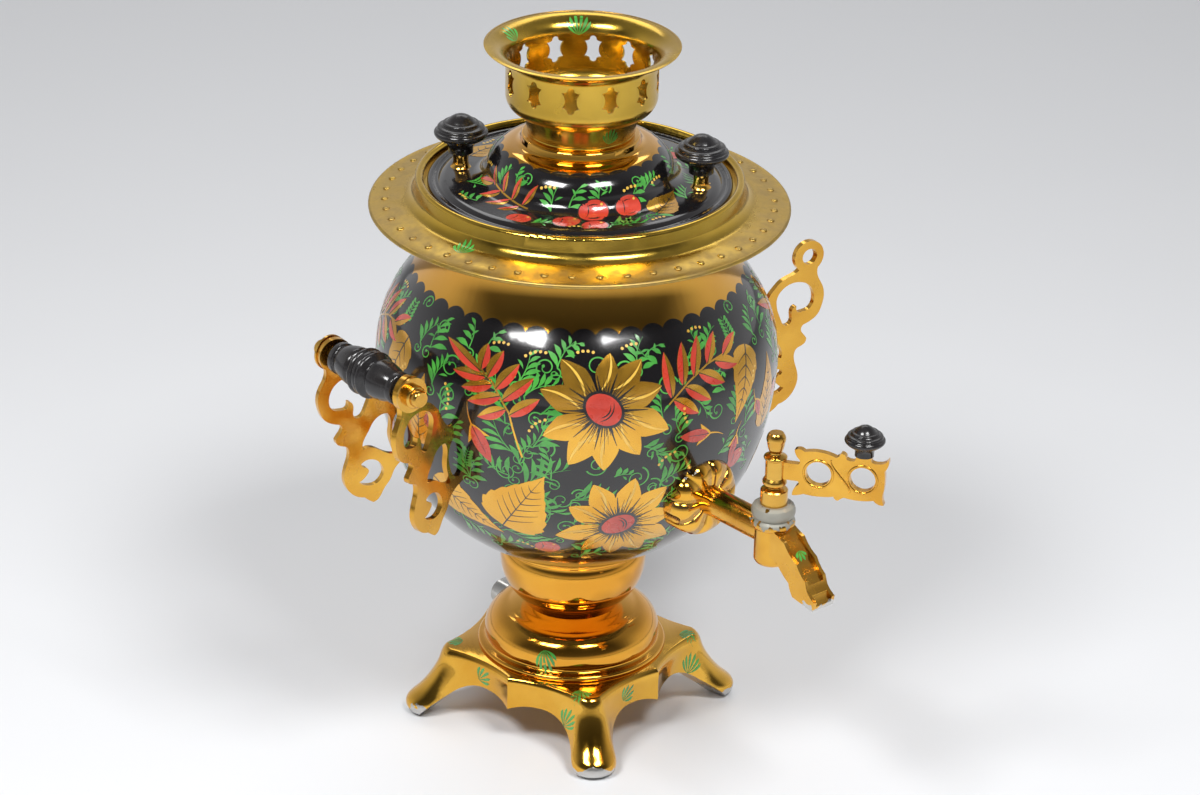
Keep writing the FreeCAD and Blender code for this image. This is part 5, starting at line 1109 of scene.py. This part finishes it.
def thrown_tuft(names, name, body, marks):
    face = ThrownFace(names)
    face.missed = 0
    art = Painting(face, name, body)
    for spot, azimuth, elevation, angle, length, count in marks:
        a, e = math.radians(azimuth), math.radians(elevation)
        way = -Vector((math.cos(a) * math.cos(e), math.sin(a) * math.cos(e), math.sin(e)))
        right = Vector((-math.sin(a), math.cos(a), 0))
        art.start(Vector(spot) * MM, (right, right.cross(way), way))
        tuft(art, 0, 0, angle, length, count, 85, 2.0)
    art.build()
    print(name, "points that missed:", face.missed)


def on_base(azimuth, reach, height):
    a = math.radians(azimuth)
    return (math.cos(a) * reach, math.sin(a) * reach, height)


FOOT_AZIMUTH = -126.0
base_marks = []
for quarter in range(4):
    leg = FOOT_AZIMUTH + 90 * quarter
    base_marks.append((on_base(leg, 57, 37), leg, 80, -90, 10, 6))
    base_marks.append((on_base(leg - 11, 66, 20), leg - 45, 15, 60, 12, 6))
    base_marks.append((on_base(leg + 24, 54, 26), leg + 45, 15, 40, 10, 5))
thrown_tuft(["base_casting"], "base_tufts", "stand", base_marks)
thrown_tuft(["gallery_ring"], "gallery_tufts", "stand", [(on_base(-170, 93, 286), -170, 80, 100, 11, 6),
    (on_base(15, 93, 286), 15, 80, 100, 11, 6)])
thrown_tuft(["pedestal_dome"], "pedestal_tufts", "stand",
    [(on_base(-150, 42, 50), -150, 45, -70, 11, 6), (on_base(40, 42, 50), 40, 45, -70, 11, 6)])
thrown_tuft(["tap_body"], "tap_tufts", "stand", [((4, -151, 152), -60, 10, -90, 8, 5), ((0, -161, 148),
    -90, 50, -90, 6, 4)])
thrown_tuft(["crown"], "crown_rim_tufts", "crown", [(on_base(52, 37, 360), -128, 30, 90, 12, 6),
    (on_base(110, 40, 362), -70, 30, 100, 10, 5)])

# %% [markdown]
# The gallery's rim carries a ring of small punched dimples. They repeat evenly, so Geometry Nodes sets one small
# dome on every point of a circle, and the result is turned into plain mesh.

# %% Dimples round the gallery
DIMPLE_COUNT = 46
DIMPLE_CIRCLE = 97.6 * MM
DIMPLE_HEIGHT = 286.30 * MM
DIMPLE_RADIUS = 2.0 * MM
DIMPLE_RISE = 0.42


def make_dimple_tree(material):
    tree = bpy.data.node_groups.new("dimple_ring", "GeometryNodeTree")
    tree.interface.new_socket("Geometry", in_out="OUTPUT", socket_type="NodeSocketGeometry")
    inputs = {"Circle Radius": DIMPLE_CIRCLE, "Height": DIMPLE_HEIGHT, "Dimple Radius": DIMPLE_RADIUS,
        "Rise": DIMPLE_RISE}
    for label, value in inputs.items():
        socket = tree.interface.new_socket(label, in_out="INPUT", socket_type="NodeSocketFloat")
        socket.default_value = value
    count = tree.interface.new_socket("Count", in_out="INPUT", socket_type="NodeSocketInt")
    count.default_value = DIMPLE_COUNT
    given = tree.nodes.new("NodeGroupInput")
    result = tree.nodes.new("NodeGroupOutput")
    circle = tree.nodes.new("GeometryNodeMeshCircle")
    dome = tree.nodes.new("GeometryNodeMeshUVSphere")
    dome.inputs["Segments"].default_value = 14
    dome.inputs["Rings"].default_value = 8
    flatten = tree.nodes.new("GeometryNodeTransform")
    size = tree.nodes.new("ShaderNodeCombineXYZ")
    size.inputs["X"].default_value = 1
    size.inputs["Y"].default_value = 1
    raise_up = tree.nodes.new("GeometryNodeTransform")
    offset = tree.nodes.new("ShaderNodeCombineXYZ")
    repeat = tree.nodes.new("GeometryNodeInstanceOnPoints")
    realize = tree.nodes.new("GeometryNodeRealizeInstances")
    smooth = tree.nodes.new("GeometryNodeSetShadeSmooth")
    paint = tree.nodes.new("GeometryNodeSetMaterial")
    paint.inputs["Material"].default_value = material
    link = tree.links.new
    link(given.outputs["Count"], circle.inputs["Vertices"])
    link(given.outputs["Circle Radius"], circle.inputs["Radius"])
    link(given.outputs["Dimple Radius"], dome.inputs["Radius"])
    link(given.outputs["Rise"], size.inputs["Z"])
    link(dome.outputs["Mesh"], flatten.inputs["Geometry"])
    link(size.outputs[0], flatten.inputs["Scale"])
    link(given.outputs["Height"], offset.inputs["Z"])
    link(circle.outputs["Mesh"], raise_up.inputs["Geometry"])
    link(offset.outputs[0], raise_up.inputs["Translation"])
    link(raise_up.outputs["Geometry"], repeat.inputs["Points"])
    link(flatten.outputs["Geometry"], repeat.inputs["Instance"])
    link(repeat.outputs["Instances"], realize.inputs["Geometry"])
    link(realize.outputs["Geometry"], smooth.inputs["Geometry"])
    link(smooth.outputs["Geometry"], paint.inputs["Geometry"])
    link(paint.outputs["Geometry"], result.inputs["Geometry"])
    return tree


def plain_mesh(name, tree):
    """Evaluates a Geometry Nodes tree and keeps its result as plain mesh."""
    holder = bpy.data.objects.new(name, bpy.data.meshes.new(name + "_start"))
    scene.collection.objects.link(holder)
    modifier = holder.modifiers.new(name, "NODES")
    modifier.node_group = tree
    depsgraph = bpy.context.evaluated_depsgraph_get()
    mesh = bpy.data.meshes.new_from_object(holder.evaluated_get(depsgraph))
    holder.modifiers.clear()
    holder.data = mesh
    mesh.name = name
    return holder


dimples = plain_mesh("gallery_dimples", make_dimple_tree(worn_brass))
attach(dimples, "stand")
print("dimples:", len(dimples.data.polygons), "faces")

# %% [markdown]
# The key is cast with relief: a raised rim round each of its two rings and a scroll that crosses between them.
# Each is a fine half-sunk bead swept along a path in the key's own plane.

# %% Relief on the key
KEY_TURN = math.radians(34.2)
KEY_HEIGHT = 193.5
KEY_THICKNESS = 3.5
KEY_RINGS = (21.8, 43.7)
KEY_RIM = 7.3
TAP_REACH = 148.0
BEAD = 0.55


def on_key(out, up, side):
    """Point on one face of the key, given in the key's plane."""
    x, y = side, -out
    c, s = math.cos(KEY_TURN), math.sin(KEY_TURN)
    return Vector((x * c - y * s, x * s + y * c - TAP_REACH, KEY_HEIGHT + up)) * MM


def key_bead(points, faces, path, side, closed):
    """Adds a tube along a path of (out, up) pairs."""
    around = 8
    first, count = len(points), len(path)
    for index, (out, up) in enumerate(path):
        before = path[index - 1] if closed or index else path[0]
        after = path[(index + 1) % count] if closed or index < count - 1 else path[-1]
        way = Vector((after[0] - before[0], after[1] - before[1])).normalized()
        taper = 1.0 if closed else max(0.3, math.sin(math.pi * (index + 0.5) / count)) ** 0.5
        for step in range(around):
            angle = 2 * math.pi * step / around
            reach = BEAD * taper
            drift = math.cos(angle) * reach
            points.append(on_key(out - way.y * drift, up + way.x * drift, side + math.sin(angle) * reach))
    for index in range(count if closed else count - 1):
        a, b = first + index * around, first + (index + 1) % count * around
        for step in range(around):
            after = (step + 1) % around
            faces.append((a + step, b + step, b + after, a + after))


def ring_path(out, radius):
    steps = 40
    return [(out + radius * math.cos(2 * math.pi * i / steps),
        radius * math.sin(2 * math.pi * i / steps)) for i in range(steps)]


key_points, key_faces = [], []
middle_out = sum(KEY_RINGS) / 2
for side in (-KEY_THICKNESS / 2, KEY_THICKNESS / 2):
    for out in KEY_RINGS:
        key_bead(key_points, key_faces, ring_path(out, KEY_RIM), side, True)
    scroll = []
    for index in range(21):
        u = index / 20 * 2 - 1
        scroll.append((middle_out + u * 4.6 + 2.2 * math.sin(math.pi * u),
            -8.2 * math.sin(math.pi / 2 * u)))
    key_bead(key_points, key_faces, scroll, side, False)
key_mesh = bpy.data.meshes.new("key_relief")
key_mesh.from_pydata(key_points, [], key_faces)
key_mesh.materials.append(lacquered_cast)
key_mesh.shade_smooth()
key_relief = bpy.data.objects.new("key_relief", key_mesh)
scene.collection.objects.link(key_relief)
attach(key_relief, "tap_key")
print("key relief:", len(key_faces), "faces")
